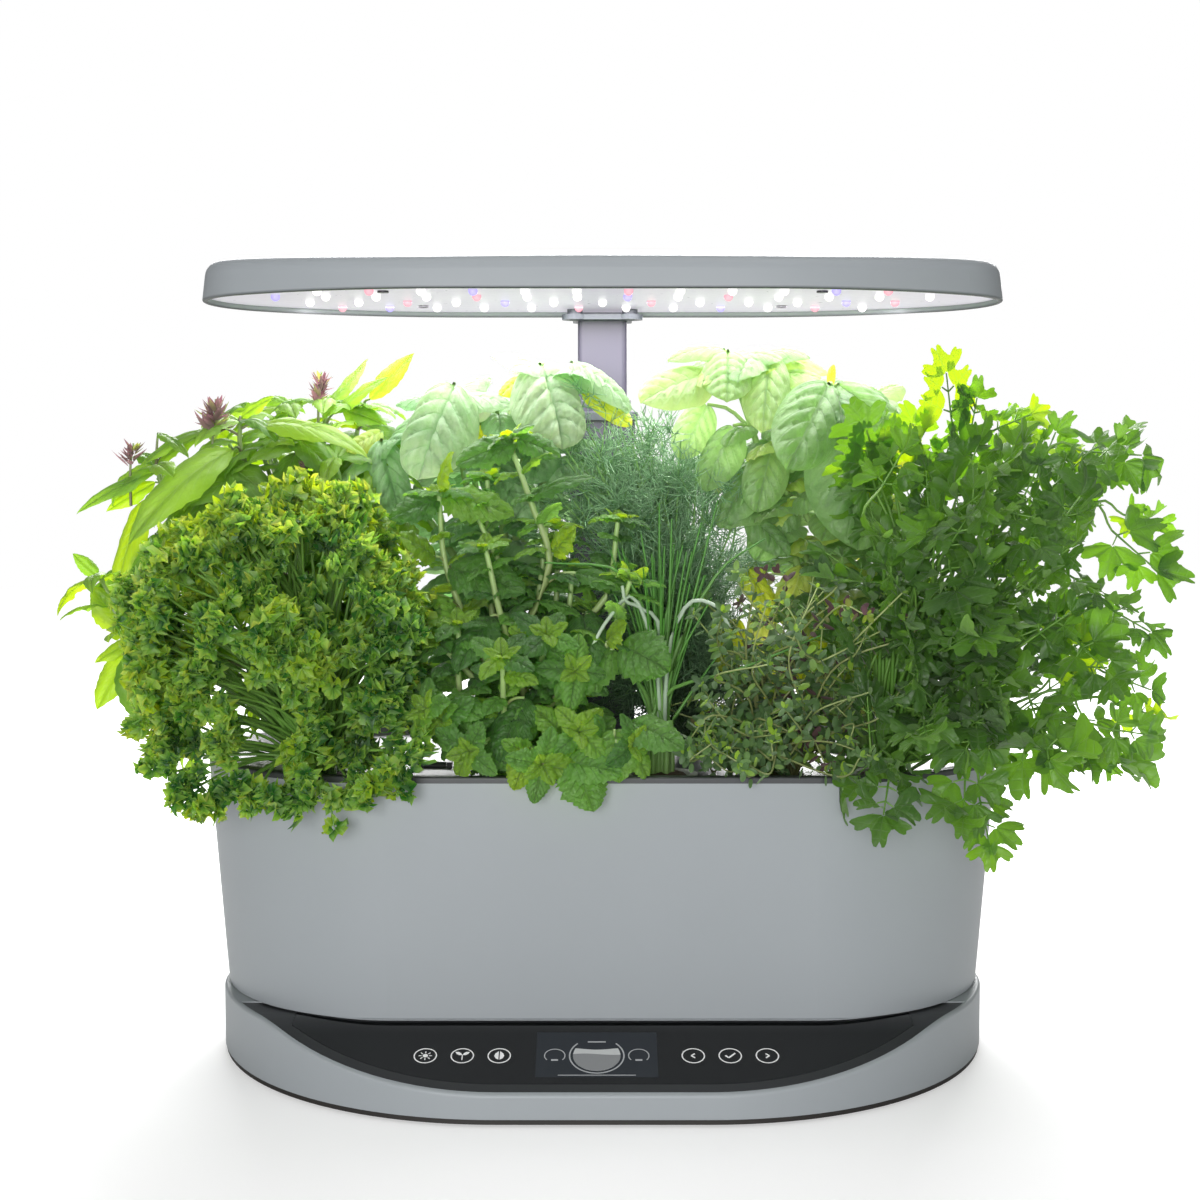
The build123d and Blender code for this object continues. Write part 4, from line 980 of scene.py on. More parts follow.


# ------------------------------------------------------------------ curly parsley
# A dense cushion that hangs over the rim on the left. Each leaf ends in a rosette of small leaflets
# whose edges are crimped like a frill, so that tips catch the light and the gaps are dark. A painted
# highlight lightens the leaflet tips, and the sprigs on the left and high up are painted lighter, as lit.
parsley = leaf_material("parsley", (0.016, 0.115, 0.012), (0.40, 0.66, 0.11), (0.40, 0.65, 0.14), veins=3,
                        slant=0.2, vein_strength=0.25, gloss=0.7, relief=0.0003, bloom=0.08, edge=0.6)
parsley_stem = stem_material("parsley_stem", (0.06, 0.20, 0.02), (0.22, 0.40, 0.08), flush=0.0)
curly = Growth("curly_parsley", 21)
frill = fan_blade(3, 15, radians(115), [(-70, 0.92), (0, 1.0), (70, 0.92)], 30, 0.34, 0.26, 5)


def over_a_ball(amount):
    """Directions spread evenly all round."""
    step = np.arange(amount) + 0.5
    height = 1 - 2 * step / amount
    turn = pi * (1 + sqrt(5)) * step
    ring = np.sqrt(1 - height**2)
    return np.stack([ring * np.cos(turn), ring * np.sin(turn), height], 1)


def rosettes(growth, blade, middles, outward, leaflets, size, tilt, tone, **form):
    """A ring of leaflets round each middle, opening outward."""
    random = growth.random
    helper = unit(random.normal(0, 1, outward.shape))
    first = unit(np.cross(outward, helper))
    second = np.cross(outward, first)
    amount, twig_radius = len(middles), 0.0012
    for number in range(leaflets):
        spin = 2 * pi * (number + random.uniform(-0.3, 0.3, (amount, 1))) / leaflets
        way = first * np.cos(spin) + second * np.sin(spin)
        length = size * random.uniform(0.7, 1.3, amount)
        grow_blades(growth, blade, middles + way * twig_radius,
                    way + outward * random.uniform(*tilt, (amount, 1)),
                    outward + random.normal(0, 0.3, outward.shape), length,
                    length * random.uniform(0.9, 1.2, amount), arch=random.uniform(-1.2, 1.4, amount),
                    curl=random.uniform(-1.4, 1.4, amount),
                    shade=np.clip(tone + random.normal(0, 0.24, amount), 0, 1), **form)


cushion_middle = metres([-163, -66, 226])
cushion_size = metres([79, 56, 79])
squareness = 2.6
clump_way = over_a_ball(64)
clump_way = clump_way[(clump_way[:, 1] < 0.6) & (clump_way[:, 2] > -0.8)]
clump_way = unit(clump_way + curly.random.normal(0, 0.13, clump_way.shape))
boxy = (np.abs(clump_way)**squareness).sum(1, keepdims=True)**(1 / squareness)
clump_depth = curly.random.uniform(0.70, 0.96, (len(clump_way), 1))
clumps = cushion_middle + cushion_size * clump_way / boxy * clump_depth
member = np.repeat(np.arange(len(clumps)), 4)
scatter = curly.random.normal(0, 0.0085, (len(member), 3))
scatter -= clump_way[member] * (scatter * clump_way[member]).sum(1, keepdims=True) * 0.7
sprigs = clumps[member] + scatter
sprig_way = unit(clump_way[member] + scatter * 45)
clump_tone = curly.random.normal(0, 0.20, len(clumps))[member]
spill = metres([(x, -113 + 0.1 * abs(x + 150), z) for x, z in (
    (-207, 156), (-196, 150), (-184, 157), (-172, 155), (-160, 151), (-147, 158), (-134, 152), (-121, 156),
    (-110, 160), (-101, 168), (-94, 178), (-215, 166))])
sprigs = np.vstack([sprigs, spill])
sprig_way = unit(np.vstack([sprig_way, np.tile([0.0, -1.0, 0.15], (len(spill), 1))]))
clump_tone = np.concatenate([clump_tone, curly.random.normal(0, 0.2, len(spill))])
# painted light: sprigs on the left and high up get lighter tones, those to the right and low down darker
sprig_lit_tone = np.clip(0.46 - 2.0 * (sprigs[:, 0] + 0.165) + 1.2 * (sprigs[:, 2] - 0.22) + clump_tone
                     + curly.random.normal(0, 0.10, len(sprigs)), 0.02, 0.95)
which = np.repeat(np.arange(len(sprigs)), 7)
heads = sprigs[which] + (unit(curly.random.normal(0, 1, (len(which), 3)))
                         * curly.random.uniform(0.002, 0.0125, (len(which), 1)))
outward = unit(sprig_way[which] + curly.random.normal(0, 0.45, heads.shape) + np.array([0, -0.1, 0.25]))
over_the_rim, past_the_rim = 0.168, -0.102
kept = (heads[:, 2] > over_the_rim) | (heads[:, 1] < past_the_rim)
heads, outward, which = heads[kept], outward[kept], which[kept]
rosettes(curly, frill, heads, outward, 4, 0.0056, (0.1, 1.2), sprig_lit_tone[which], ruffle=0.42, ruffles=2.3,
         swell=0.05)
foot = curly.feet(len(sprigs), 0.010)
knee = knees(curly, foot, sprigs, 0.35, 0.62, 0.004, lowest=over_the_rim)
grow_stalks(curly, [curve(path, 10) for path in zip(foot, knee, sprigs)], 0.0012, 0.0007)
grow_stalks(curly, np.stack([sprigs[which], (sprigs[which] + heads) / 2, heads], 1), 0.0006, 0.0004, sides=3)
harvest(curly, [parsley, parsley_stem])

# ------------------------------------------------------------------ mint
# Square juicy stems, flushed with red near the foot, with opposite pairs of wrinkled, sharply
# toothed leaves. Each shoot ends in a star of young leaves, and the first one climbs in an S.
mint_leaf = leaf_material("mint", (0.014, 0.085, 0.018), (0.20, 0.42, 0.075), (0.30, 0.50, 0.20), veins=7,
                          slant=0.32, vein_strength=0.4, through=0.40, gloss=0.7, relief=0.0013, pucker=0.7,
                          bloom=0.10)
mint_stem = stem_material("mint_stem", (0.20, 0.36, 0.10), (0.42, 0.58, 0.24), flush=0.55)
mint = Growth("mint", 31)
mint_blade = simple_blade(29, 11, 0.5, 0.72, teeth=11, tooth=0.30, veins=7, slant=0.55)
mint_paths = stems_to(mint, [
    [(-52, -45, 205), (-28, -50, 262), (-38, -48, 300), (-49, -45, 330)],
    [(-60, -40, 210), (-82, -38, 262), (-86, -40, 302)], [(-48, -75, 180), (-50, -100, 222)],
    [(-30, -60, 190), (0, -70, 222), (14, -62, 258)], [(-22, -75, 175), (-12, -104, 186)],
    [(-38, -80, 176), (-30, -110, 171)], [(-70, -60, 190), (-74, -72, 236)],
    [(-36, -30, 220), (-30, -25, 285)], [(-58, -25, 230), (-62, -18, 310)],
    [(-20, -35, 220), (2, -38, 250), (8, -36, 288)], [(-66, -70, 178), (-80, -92, 190)],
    [(-10, -85, 178), (14, -104, 180)], [(-50, -60, 230), (-60, -66, 275)],
    [(-34, -55, 200), (-28, -84, 232)], [(-60, -70, 176), (-88, -96, 196)],
    [(-50, -70, 178), (-66, -102, 176)], [(-20, -60, 200), (-14, -88, 214)],
    [(-62, -50, 200), (-84, -66, 226)], [(-44, -40, 240), (-66, -34, 290)],
    [(-20, -32, 220), (-16, -30, 262)], [(-12, -34, 210), (-8, -28, 240)],
    [(-26, -26, 220), (-24, -22, 276)],
], start=0.0024, end=0.0013, count=18)
# These shoots get lighter tones, many of them the painted lit tone, as if lit from behind.
lit_shoots = (1, 4, 5)
for number, path in enumerate(mint_paths):
    leaf_pairs(mint, mint_blade, path, 0.0140, 0.0250, 0.64, first=0.25, rosette=8, droop=0.9,
               shade=(0.45, 1.0) if number in lit_shoots else (0.0, 0.95),
               curl=0.45, swell=0.11, ruffle=0.06)
placed_leaves(mint, mint_blade, mint_paths, [
    ((-86, -40, 300), (-112, -46, 290), 20, 0.5, 0.15), ((-84, -40, 302), (-46, -48, 292), 27, 0.4, 0.85),
    ((-86, -42, 305), (-78, -50, 325), 18, 0.3, 1.0), ((-88, -42, 270), (-106, -55, 282), 20, 0.4, 0.9),
    ((-80, -45, 265), (-40, -58, 252), 30, 0.5, 0.3), ((-90, -50, 250), (-84, -62, 228), 24, 0.4, 0.8),
    ((-46, -48, 330), (-76, -56, 318), 20, 0.5, 0.35), ((-44, -48, 332), (-22, -54, 322), 16, 0.5, 0.3),
    ((-40, -48, 300), (-4, -56, 312), 16, 0.5, 0.2), ((-26, -50, 272), (-14, -58, 286), 18, 0.5, 1.0),
    ((-14, -52, 262), (14, -60, 254), 14, 0.5, 0.3), ((6, -70, 224), (-24, -82, 200), 26, 0.5, 0.75),
    ((10, -72, 226), (34, -84, 214), 30, 0.9, 0.5), ((2, -70, 228), (12, -80, 238), 16, 0.4, 1.0),
    ((14, -96, 190), (40, -108, 178), 24, 0.5, 0.55), ((6, -96, 186), (8, -112, 162), 26, 0.5, 0.8),
    ((-36, -104, 178), (-44, -112, 158), 18, 0.3, 1.0), ((-14, -104, 170), (-4, -114, 148), 26, 0.4, 0.6),
    ((-20, -104, 172), (10, -112, 166), 22, 0.4, 0.75), ((-80, -84, 200), (-60, -96, 192), 20, 0.4, 0.6),
    ((-70, -60, 180), (-50, -90, 160), 22, 0.4, 0.1), ((-40, -80, 200), (-52, -98, 170), 24, 0.4, 0.1),
    ((-58, -60, 240), (-74, -86, 214), 24, 0.4, 0.1), ((-10, -50, 240), (-6, -86, 214), 22, 0.4, 0.15),
], curl=0.45, swell=0.11, ruffle=0.06)
harvest(mint, [mint_leaf, mint_stem])

# ------------------------------------------------------------------ chives
# A tight sheaf of hollow grass-green tubes, white at the foot, that fans out and arches over. The
# tips of three of them are dry and curled.
chive_leaf = stem_material("chive", (0.014, 0.095, 0.010), (0.075, 0.27, 0.030), red=(0.34, 0.50, 0.18),
                           flush=0.6)
chive_dry = stem_material("chive_dry", (0.30, 0.40, 0.30), (0.52, 0.62, 0.50), flush=0.0)
chives = Growth("chives", 41)
chive_tips = [
    [(28, -56, 220), (10, -62, 262), (-30, -66, 268)], [(34, -50, 230), (36, -50, 290)],
    [(38, -52, 220), (60, -54, 262), (84, -56, 280)], [(34, -56, 200), (70, -74, 214), (110, -84, 232)],
    [(22, -60, 200), (6, -72, 214), (-34, -80, 218)], [(40, -50, 220), (60, -50, 300)],
    [(28, -50, 230), (20, -50, 282)], [(32, -46, 230), (42, -44, 276)], [(24, -52, 225), (12, -54, 270)],
    [(36, -58, 210), (56, -66, 250)], [(30, -40, 240), (30, -34, 298)], [(38, -44, 230), (52, -40, 288)]]
for _ in range(38):
    lean = chives.random.normal(0, 1, 2) * np.array([17, 12])
    tall = chives.random.uniform(60, 128)
    chive_tips.append([(30 + 0.3 * lean[0], -48 + 0.3 * lean[1], 156 + 0.5 * tall),
                       (30 + lean[0], -50 + lean[1], 156 + tall)])
chive_paths = []
for points in chive_tips:
    foot = chives.feet(1, 0.0065)
    chive_paths.append(curve(np.vstack([foot, foot + np.array([0, -0.001, 0.02]), metres(points)]), 16))
chive_radius = chives.random.uniform(0.0015, 0.0022, len(chive_paths))
grow_stalks(chives, chive_paths, chive_radius, 0.0004, sides=7, kind=0)
dry_paths = [curve(metres(points), 14) for points in (
    [(30, -48, 157), (28, -58, 214), (16, -64, 250), (2, -70, 238), (-6, -74, 224)],
    [(32, -48, 157), (34, -60, 220), (44, -68, 247), (58, -74, 246), (64, -78, 236)],
    [(30, -48, 157), (30, -56, 230), (20, -62, 244), (12, -66, 248), (10, -68, 256)])]
grow_stalks(chives, dry_paths, 0.0012, 0.0009, sides=7, kind=1)
harvest(chives, [chive_leaf, chive_dry])

# ------------------------------------------------------------------ thyme
# Tangled wiry stems in pale straw green, with tiny oval grey-green leaves in pairs. Some leaves
# have a purple flush.
thyme_leaf = leaf_material("thyme", (0.020, 0.062, 0.018), (0.16, 0.28, 0.10), (0.2, 0.3, 0.14), veins=1,
                           slant=0.1, vein_strength=0.3, through=0.32, gloss=0.6, relief=0.0001, bloom=0.2)
# The thyme stems are darker low down: painted shade, with older growth.
thyme_stem = stem_material("thyme_stem", (0.17, 0.24, 0.06), (0.44, 0.54, 0.20), flush=0.3, inner=0.6)
thyme_red = leaf_material("thyme_red", (0.035, 0.02, 0.022), (0.14, 0.07, 0.08), (0.2, 0.12, 0.12), veins=1,
                          vein_strength=0.3, through=0.25, gloss=0.4, relief=0.0001)
thyme = Growth("thyme", 51)
thyme_blade = simple_blade(6, 5, 0.5, 0.55, veins=2)
thyme_paths = []
purple_share = 0.08
for number in range(120):
    aim = thyme.random.uniform((44, -122, 164), (152, -12, 266))
    if number % 6 == 0:
        aim = thyme.random.uniform((40, -108, 164), (76, -84, 186))
    if aim[2] < 172 and aim[1] > -100:
        aim[2] += 40 if number % 6 else 8
    start, end = thyme.feet(1, 0.011), metres([aim])
    middle = knees(thyme, start, end, 0.4, 0.6, 0.010, lowest=0.172)
    near_end = knees(thyme, middle, end, 0.6, 0.6, 0.009)
    thyme_paths.append(curve(np.vstack([start, middle, near_end, end]), 22))
grow_stalks(thyme, thyme_paths, 0.0007, 0.0004)
for path in thyme_paths:
    leaf_pairs(thyme, thyme_blade, path, 0.0066, 0.0076, 0.54, rise=0.4, first=0.25, rosette=6, droop=0.5,
               kind=2 if thyme.random.uniform() < purple_share else 0, curl=0.4)
harvest(thyme, [thyme_leaf, thyme_stem, thyme_red])

# ------------------------------------------------------------------ flat parsley
# Long thin stalks reach out over the right end, each with a spray of flat, deeply cut, toothed
# leaflets. The outermost ones droop, and the ones against the light glow yellow, with light coming
# through them and a painted lit tone on many sprays at the back.
flat_leaf = leaf_material("flat_parsley", (0.010, 0.050, 0.008), (0.13, 0.30, 0.035), (0.24, 0.42, 0.14),
                          veins=4, slant=0.2, vein_strength=0.3, through=0.38, gloss=0.7, relief=0.0005,
                          bloom=0.14)
flat = Growth("flat_parsley", 61)
cut_blade = fan_blade(5, 41, radians(84), [(-58, 0.86), (0, 1.0), (58, 0.86)], 22, 0.55, 0.24, 9)
sprays = [
    ((176, -40, 342), (0.1, -0.1, 1.0), 26, 1.0), ((164, -60, 322), (-0.4, -0.5, 0.5), 24, 0.9),
    ((188, -50, 334), (0.3, -0.4, 0.7), 26, 0.6), ((204, -40, 336), (0.8, -0.2, 0.3), 26, 1.0),
    ((250, -50, 325), (0.9, -0.3, -0.3), 34, 0.25), ((224, -60, 300), (0.5, -0.6, -0.2), 28, 0.4),
    ((264, -55, 284), (0.7, -0.5, -0.5), 36, 0.4), ((274, -40, 292), (1.0, 0.0, -0.3), 22, 0.5),
    ((200, -70, 314), (0.2, -0.7, 0.3), 30, 0.3), ((170, -80, 296), (-0.2, -0.8, -0.2), 30, 0.45),
    ((206, -84, 288), (0.3, -0.8, -0.2), 32, 0.3), ((150, -92, 280), (-0.7, -0.6, 0.0), 26, 0.35),
    ((172, -96, 268), (0.0, -0.9, -0.3), 32, 0.25), ((236, -80, 262), (0.6, -0.5, -0.4), 28, 0.2),
    ((262, -60, 244), (0.7, -0.4, -0.5), 28, 0.15), ((182, -104, 246), (0.0, -0.9, -0.4), 30, 0.6),
    ((240, -84, 228), (0.5, -0.7, -0.4), 34, 0.25), ((262, -50, 210), (0.9, -0.2, -0.4), 32, 0.3),
    ((214, -92, 200), (0.2, -0.8, -0.6), 30, 0.3), ((246, -70, 190), (0.6, -0.5, -0.6), 36, 0.35),
    ((272, -50, 192), (0.9, -0.1, -0.4), 24, 1.0), ((206, -104, 178), (0.5, -0.8, 0.1), 40, 0.5),
    ((178, -112, 166), (-0.2, -0.8, -0.6), 34, 0.4), ((140, -114, 162), (-0.3, -0.8, -0.5), 28, 0.1),
    ((158, -110, 190), (-0.2, -0.9, -0.2), 28, 0.3), ((186, -108, 154), (0.2, -0.7, -0.7), 30, 0.5),
    ((228, -60, 216), (0.5, -0.3, 0.2), 30, 0.9), ((196, -60, 232), (0.0, -0.4, 0.2), 30, 0.85),
    ((150, -70, 240), (-0.4, -0.5, 0.3), 26, 0.3), ((210, -30, 320), (0.3, 0.4, 0.6), 28, 0.8)]
for _ in range(84):
    spot = flat.random.uniform((134, -108, 168), (252, -14, 316))
    way = unit(spot - np.array([150, -48, 190])) + flat.random.normal(0, 0.35, 3)
    # painted light: sprays at the back often take the lit yellow tone, as if lit from behind; the rest keep
    # darker tones
    tones = (0.88, 1.0) if spot[1] > -50 and flat.random.uniform() < 0.45 else (0, 0.5)
    sprays.append((spot, way, flat.random.uniform(22, 34), flat.random.uniform(*tones)))
for _ in range(30):
    spot = flat.random.uniform((130, -108, 172), (196, -64, 262))
    sprays.append((spot, flat.random.normal((0, -0.7, 0.0), 0.45), flat.random.uniform(20, 30),
                   flat.random.uniform(0, 0.45)))
spray_foot, spray_way, spray_size, spray_tone = (np.array(column) for column in zip(*sprays))
spray_growth, droop_length = 1.24, 0.018
spray_foot, spray_size = metres(spray_foot), spray_growth * metres(spray_size)
spray_way = unit(spray_way + flat.random.normal(0, 0.12, spray_way.shape))
spray_up = np.array([0, -0.75, 0.7]) + flat.random.normal(0, 0.35, spray_way.shape)
spray_up = square_to(unit(spray_up), spray_way)
spray_side = np.cross(spray_way, spray_up)
leaflets = ((0.0, 0.55, 0.46), (0.95, 0.40, 0.38), (-0.95, 0.40, 0.38), (1.2, 0.08, 0.40), (-1.2, 0.08, 0.40))
for spin, out, size in leaflets:
    way = spray_way * cos(spin) + spray_side * sin(spin)
    base = spray_foot + spray_way * (out * spray_size)[:, None]
    tip = base + way * (0.14 * spray_size)[:, None]
    grow_stalks(flat, np.stack([base, (base + tip) / 2, tip], 1), 0.0005, 0.0004, sides=4)
    length = spray_size * size * flat.random.uniform(0.8, 1.2, len(sprays))
    grow_blades(flat, cut_blade, tip, way + flat.random.normal(0, 0.22, way.shape),
                spray_up + flat.random.normal(0, 0.25, way.shape), length, length * 1.05,
                arch=flat.random.uniform(0.0, 1.2, len(sprays)),
                curl=flat.random.uniform(-0.9, 0.6, len(sprays)),
                ruffle=flat.random.uniform(0.03, 0.08, len(sprays)), ruffles=1.5, swell=0.08,
                shade=np.clip(spray_tone + flat.random.normal(0, 0.14, len(sprays)), 0, 1))
rays = [curve([start, start + way * 0.55 * size], 4)
        for start, way, size in zip(spray_foot, spray_way, spray_size)]
grow_stalks(flat, rays, 0.0006, 0.0004, sides=4)
foot = flat.feet(len(sprays), 0.008)
knee = knees(flat, foot, spray_foot, 0.42, 0.68, 0.004, lowest=0.172)
late = spray_foot - spray_way * droop_length
grow_stalks(flat, [curve(path, 14) for path in zip(foot, knee, late, spray_foot)], 0.0012, 0.0006)
harvest(flat, [flat_leaf, parsley_stem], lift=0.061, leans=True)

# ------------------------------------------------------------------ Thai basil
# Long narrow pointed leaves arch out to the left on purple-tinged stems. Heads of small purple
# bracts stand on four of the shoots.
thai_leaf = leaf_material("thai_basil", (0.035, 0.13, 0.018), (0.24, 0.40, 0.055), (0.36, 0.52, 0.16),
                          veins=8, slant=0.35, through=0.40, gloss=0.6, relief=0.0005, bloom=0.1)
thai_stem = stem_material("thai_stem", (0.16, 0.24, 0.10), (0.30, 0.42, 0.16), red=(0.20, 0.08, 0.12),
                          flush=0.6)
bract = leaf_material("bract", (0.07, 0.025, 0.03), (0.30, 0.14, 0.16), (0.3, 0.2, 0.2), veins=3,
                      through=0.25, gloss=0.4, relief=0.0001)
thai = Growth("thai_basil", 71)
thai_blade = simple_blade(33, 11, 0.72, 1.0, teeth=7, tooth=0.12, veins=8, slant=0.7)
thai_paths = stems_to(thai, [
    [(-172, 30, 250), (-198, 14, 318), (-200, 8, 342)], [(-180, 30, 240), (-236, 6, 300), (-244, -2, 318)],
    [(-185, 28, 200), (-240, 0, 214), (-260, -8, 226), (-274, -4, 256)], [(-162, 32, 250), (-155, 28, 352)],
    [(-180, 36, 190), (-236, 10, 182)], [(-164, 30, 260), (-170, 16, 330)],
    [(-176, 34, 230), (-214, 4, 300)], [(-150, 36, 260), (-136, 30, 350)],
    [(-170, 40, 220), (-206, 30, 290)], [(-156, 46, 240), (-160, 66, 318)],
    [(-176, 44, 230), (-208, 64, 296)], [(-180, 42, 200), (-246, 44, 262)],
    [(-140, 44, 240), (-132, 60, 300)], [(-182, 40, 190), (-262, 30, 210)],
    [(-150, 30, 240), (-150, 6, 290)], [(-184, 34, 220), (-228, 20, 262)],
    [(-160, 30, 240), (-182, 8, 300)], [(-164, 26, 250), (-186, 10, 328)],
    [(-176, 26, 250), (-212, 10, 306)], [(-150, 30, 250), (-126, 14, 318)],
    [(-168, 34, 250), (-194, 34, 330)], [(-176, 50, 230), (-236, 50, 316)],
    [(-170, 54, 240), (-220, 70, 334)], [(-166, 50, 250), (-200, 60, 352)],
    [(-160, 44, 250), (-178, 40, 350)], [(-150, 40, 250), (-126, 44, 334)],
    [(-180, 40, 200), (-256, 40, 240)], [(-182, 32, 230), (-232, 26, 290)],
    [(-144, 30, 240), (-114, 20, 290)], [(-156, 24, 250), (-146, 0, 322)],
    [(-190, 30, 200), (-250, 14, 236)],
], start=0.0022, end=0.0012)
placed_leaves(thai, thai_blade, thai_paths, [
    ((-243, -5, 315), (-283, -20, 292), 12, 0.5, 0.3), ((-245, 0, 309), (-271, -5, 293), 12, 0.3, 0.85),
    ((-202, -2, 327), (-251, -38, 276), 23, 1.15, 0.75), ((-250, 0, 300), (-262, -20, 248), 20, 0.5, 1.0),
    ((-243, -10, 281), (-249, -30, 239), 20, 0.4, 0.15), ((-190, 8, 340), (-125, -22, 322), 22, 0.9, 0.9),
    ((-160, 10, 336), (-193, -4, 320), 16, 0.5, 0.6), ((-194, 5, 314), (-229, -14, 294), 19, 0.6, 0.45),
    ((-217, 5, 338), (-252, -12, 315), 13, 0.7, 0.7), ((-243, 0, 336), (-223, -15, 322), 11, 0.6, 0.4),
    ((-158, 30, 350), (-133, 38, 379), 19, -0.3, 0.55), ((-151, 25, 347), (-118, 12, 367), 12, 0.4, 0.75),
    ((-130, 22, 355), (-104, 12, 380), 12, 0.4, 0.6), ((-258, -10, 230), (-279, -8, 252), 22, -0.3, 0.95),
    ((-275, 0, 254), (-251, -16, 229), 19, -0.4, 0.35), ((-277, 0, 257), (-291, 0, 270), 9, 0.2, 0.2),
    ((-276, 0, 254), (-278, -5, 238), 10, 0.2, 0.3), ((-256, -10, 223), (-276, -15, 211), 12, 0.4, 0.9),
    ((-260, -10, 216), (-274, -20, 186), 18, 0.3, 0.85), ((-257, -12, 217), (-246, -27, 177), 24, 0.3, 0.25),
    ((-249, 0, 207), (-238, -10, 179), 20, 0.3, 1.0), ((-242, 0, 184), (-225, -10, 177), 11, 0.3, 0.4),
    ((-232, 0, 173), (-240, -5, 151), 13, 0.3, 0.95), ((-224, 0, 158), (-229, -8, 140), 13, 0.3, 0.7),
    ((-153, 20, 327), (-155, 8, 305), 17, 0.3, 0.35), ((-170, 10, 325), (-178, -8, 296), 16, 0.5, 0.15),
    ((-187, 8, 304), (-155, -6, 292), 14, 0.4, 0.4), ((-155, 16, 312), (-192, 12, 308), 15, 0.4, 0.1),
    ((-160, 14, 333), (-142, 2, 320), 18, 0.4, 0.6), ((-205, 20, 300), (-236, 6, 268), 20, 0.6, 0.6),
    ((-140, 24, 330), (-112, 10, 300), 22, 0.6, 0.3), ((-180, 20, 290), (-150, 0, 262), 20, 0.5, 0.3),
    ((-146, 30, 350), (-120, 24, 340), 16, 0.5, 0.4), ((-200, 12, 345), (-180, 4, 356), 10, 0.3, 0.8),
    ((-214, 10, 322), (-176, -10, 296), 22, 0.7, 0.35), ((-176, 8, 338), (-140, -16, 306), 20, 0.8, 0.2),
    ((-224, 10, 300), (-250, -12, 258), 20, 0.5, 0.5), ((-236, 20, 330), (-206, 0, 338), 14, 0.6, 0.75),
    ((-130, 20, 340), (-104, 6, 322), 18, 0.5, 0.15), ((-136, 16, 326), (-122, -6, 290), 20, 0.4, 0.35),
], stalk=(0.0009, 0.0006), curl=0.5, swell=0.085, ruffle=0.08, ruffles=1.6)
for path in thai_paths:
    leaf_pairs(thai, thai_blade, path, 0.018, 0.045, 0.38, first=0.3, droop=1.3, shade=(0.0, 0.95), curl=0.5,
               swell=0.085, ruffle=0.07)
bract_blade = simple_blade(6, 5, 0.6, 1.1, veins=2)
for top, tall, wide in (((-212, -6, 333), 21, 26), ((-158, 18, 352), 18, 19), ((-256, -10, 316), 14, 19),
                        ((-164, 2, 314), 9, 11)):
    top = metres(top)
    spike = curve([top - np.array([0, 0, 0.02]), top, top + np.array([0.002, 0, tall / 1000])], 8)
    grow_stalks(thai, [spike], 0.0009, 0.0005)
    amount = int(2.4 * tall)
    share = thai.random.uniform(0, 1, amount)
    spin = thai.random.uniform(0, 2 * pi, amount)
    out_way = np.stack([np.cos(spin), np.sin(spin), np.zeros(amount)], 1)
    base = top + share[:, None] * np.array([0.002, 0, 0.8 * tall / 1000]) + out_way * 0.001
    length = wide / 2000 * thai.random.uniform(0.6, 1.25, amount) * (1.15 - 0.5 * share)
    bract_way = out_way + np.array([0, 0, 0.8]) * thai.random.uniform(0.1, 1.9, (amount, 1))
    grow_blades(thai, bract_blade, base, bract_way, np.array([0, 0, 1.0]) - out_way * 0.3, length,
                length * 0.36, arch=-0.3, curl=-0.9, kind=2)
harvest(thai, [thai_leaf, thai_stem, bract])

# ------------------------------------------------------------------ sweet basil
# Broad spoon-shaped leaves with their edges rolled down and the skin quilted between deep veins.
# They stand close under the lamp, so their tops are washed with white light.
basil_leaf = leaf_material("basil", (0.035, 0.16, 0.030), (0.44, 0.62, 0.36), (0.14, 0.34, 0.11), slant=0.42,
                           vein_strength=0.42, through=0.36, gloss=0.9, relief=0.0011, bloom=0.2,
                           lit=(0.34, 0.50, 0.03))
basil_stem = stem_material("basil_stem", (0.20, 0.36, 0.10), (0.38, 0.55, 0.20), flush=0.05)
sweet = Growth("sweet_basil", 81)
basil_blade = simple_blade(41, 21, 0.52, 0.62, veins=6, slant=0.62)
sweet_paths = stems_to(sweet, [
    [(-66, 36, 250), (-84, 4, 352)], [(-58, 34, 260), (-30, 10, 368)], [(-50, 34, 250), (-14, 10, 366)],
    [(-70, 36, 240), (-122, 12, 326)], [(-56, 36, 260), (-58, 14, 346)], [(-52, 38, 250), (-40, 24, 330)],
    [(-62, 46, 240), (-78, 66, 330)], [(-66, 44, 220), (-98, 50, 300)], [(-50, 46, 240), (-44, 62, 300)],
], start=0.0030, end=0.0016)
placed_leaves(sweet, basil_blade, sweet_paths, [
    ((-80, -12, 362), (-99, -32, 311), 53, 0.5, 0.55), ((-121, 0, 332), (-109, -12, 286), 31, 0.4, 0.3),
    ((-60, 0, 350), (-80, -6, 352), 24, 0.5, 0.75), ((-34, -5, 373), (-20, -29, 327), 54, 0.75, 0.7),
    ((-17, -2, 374), (15, -20, 347), 22, 0.7, 0.5), ((-41, 10, 368), (-56, 0, 356), 16, 0.4, 1.0),
    ((-62, 10, 325), (-45, -4, 293), 33, 0.4, 0.35), ((-133, 0, 310), (-125, -5, 282), 18, 0.4, 0.25),
    ((-72, 16, 349), (-66, 4, 333), 24, 0.4, 1.0), ((-11, 10, 360), (16, 0, 340), 16, 0.3, 1.0),
    ((-32, 8, 332), (-39, -4, 308), 30, 0.4, 0.15), ((-122, 10, 337), (-140, 0, 326), 18, 0.3, 0.95),
], stalk=(0.0014, 0.0010), curl=1.35, swell=0.14, ruffle=0.04, ruffles=1.3)
for path in sweet_paths:
    leaf_pairs(sweet, basil_blade, path, 0.026, 0.046, 0.70, first=0.3, droop=1.2, shade=(0.0, 0.6), curl=1.0,
               swell=0.07, ruffle=0.03)
harvest(sweet, [basil_leaf, basil_stem])
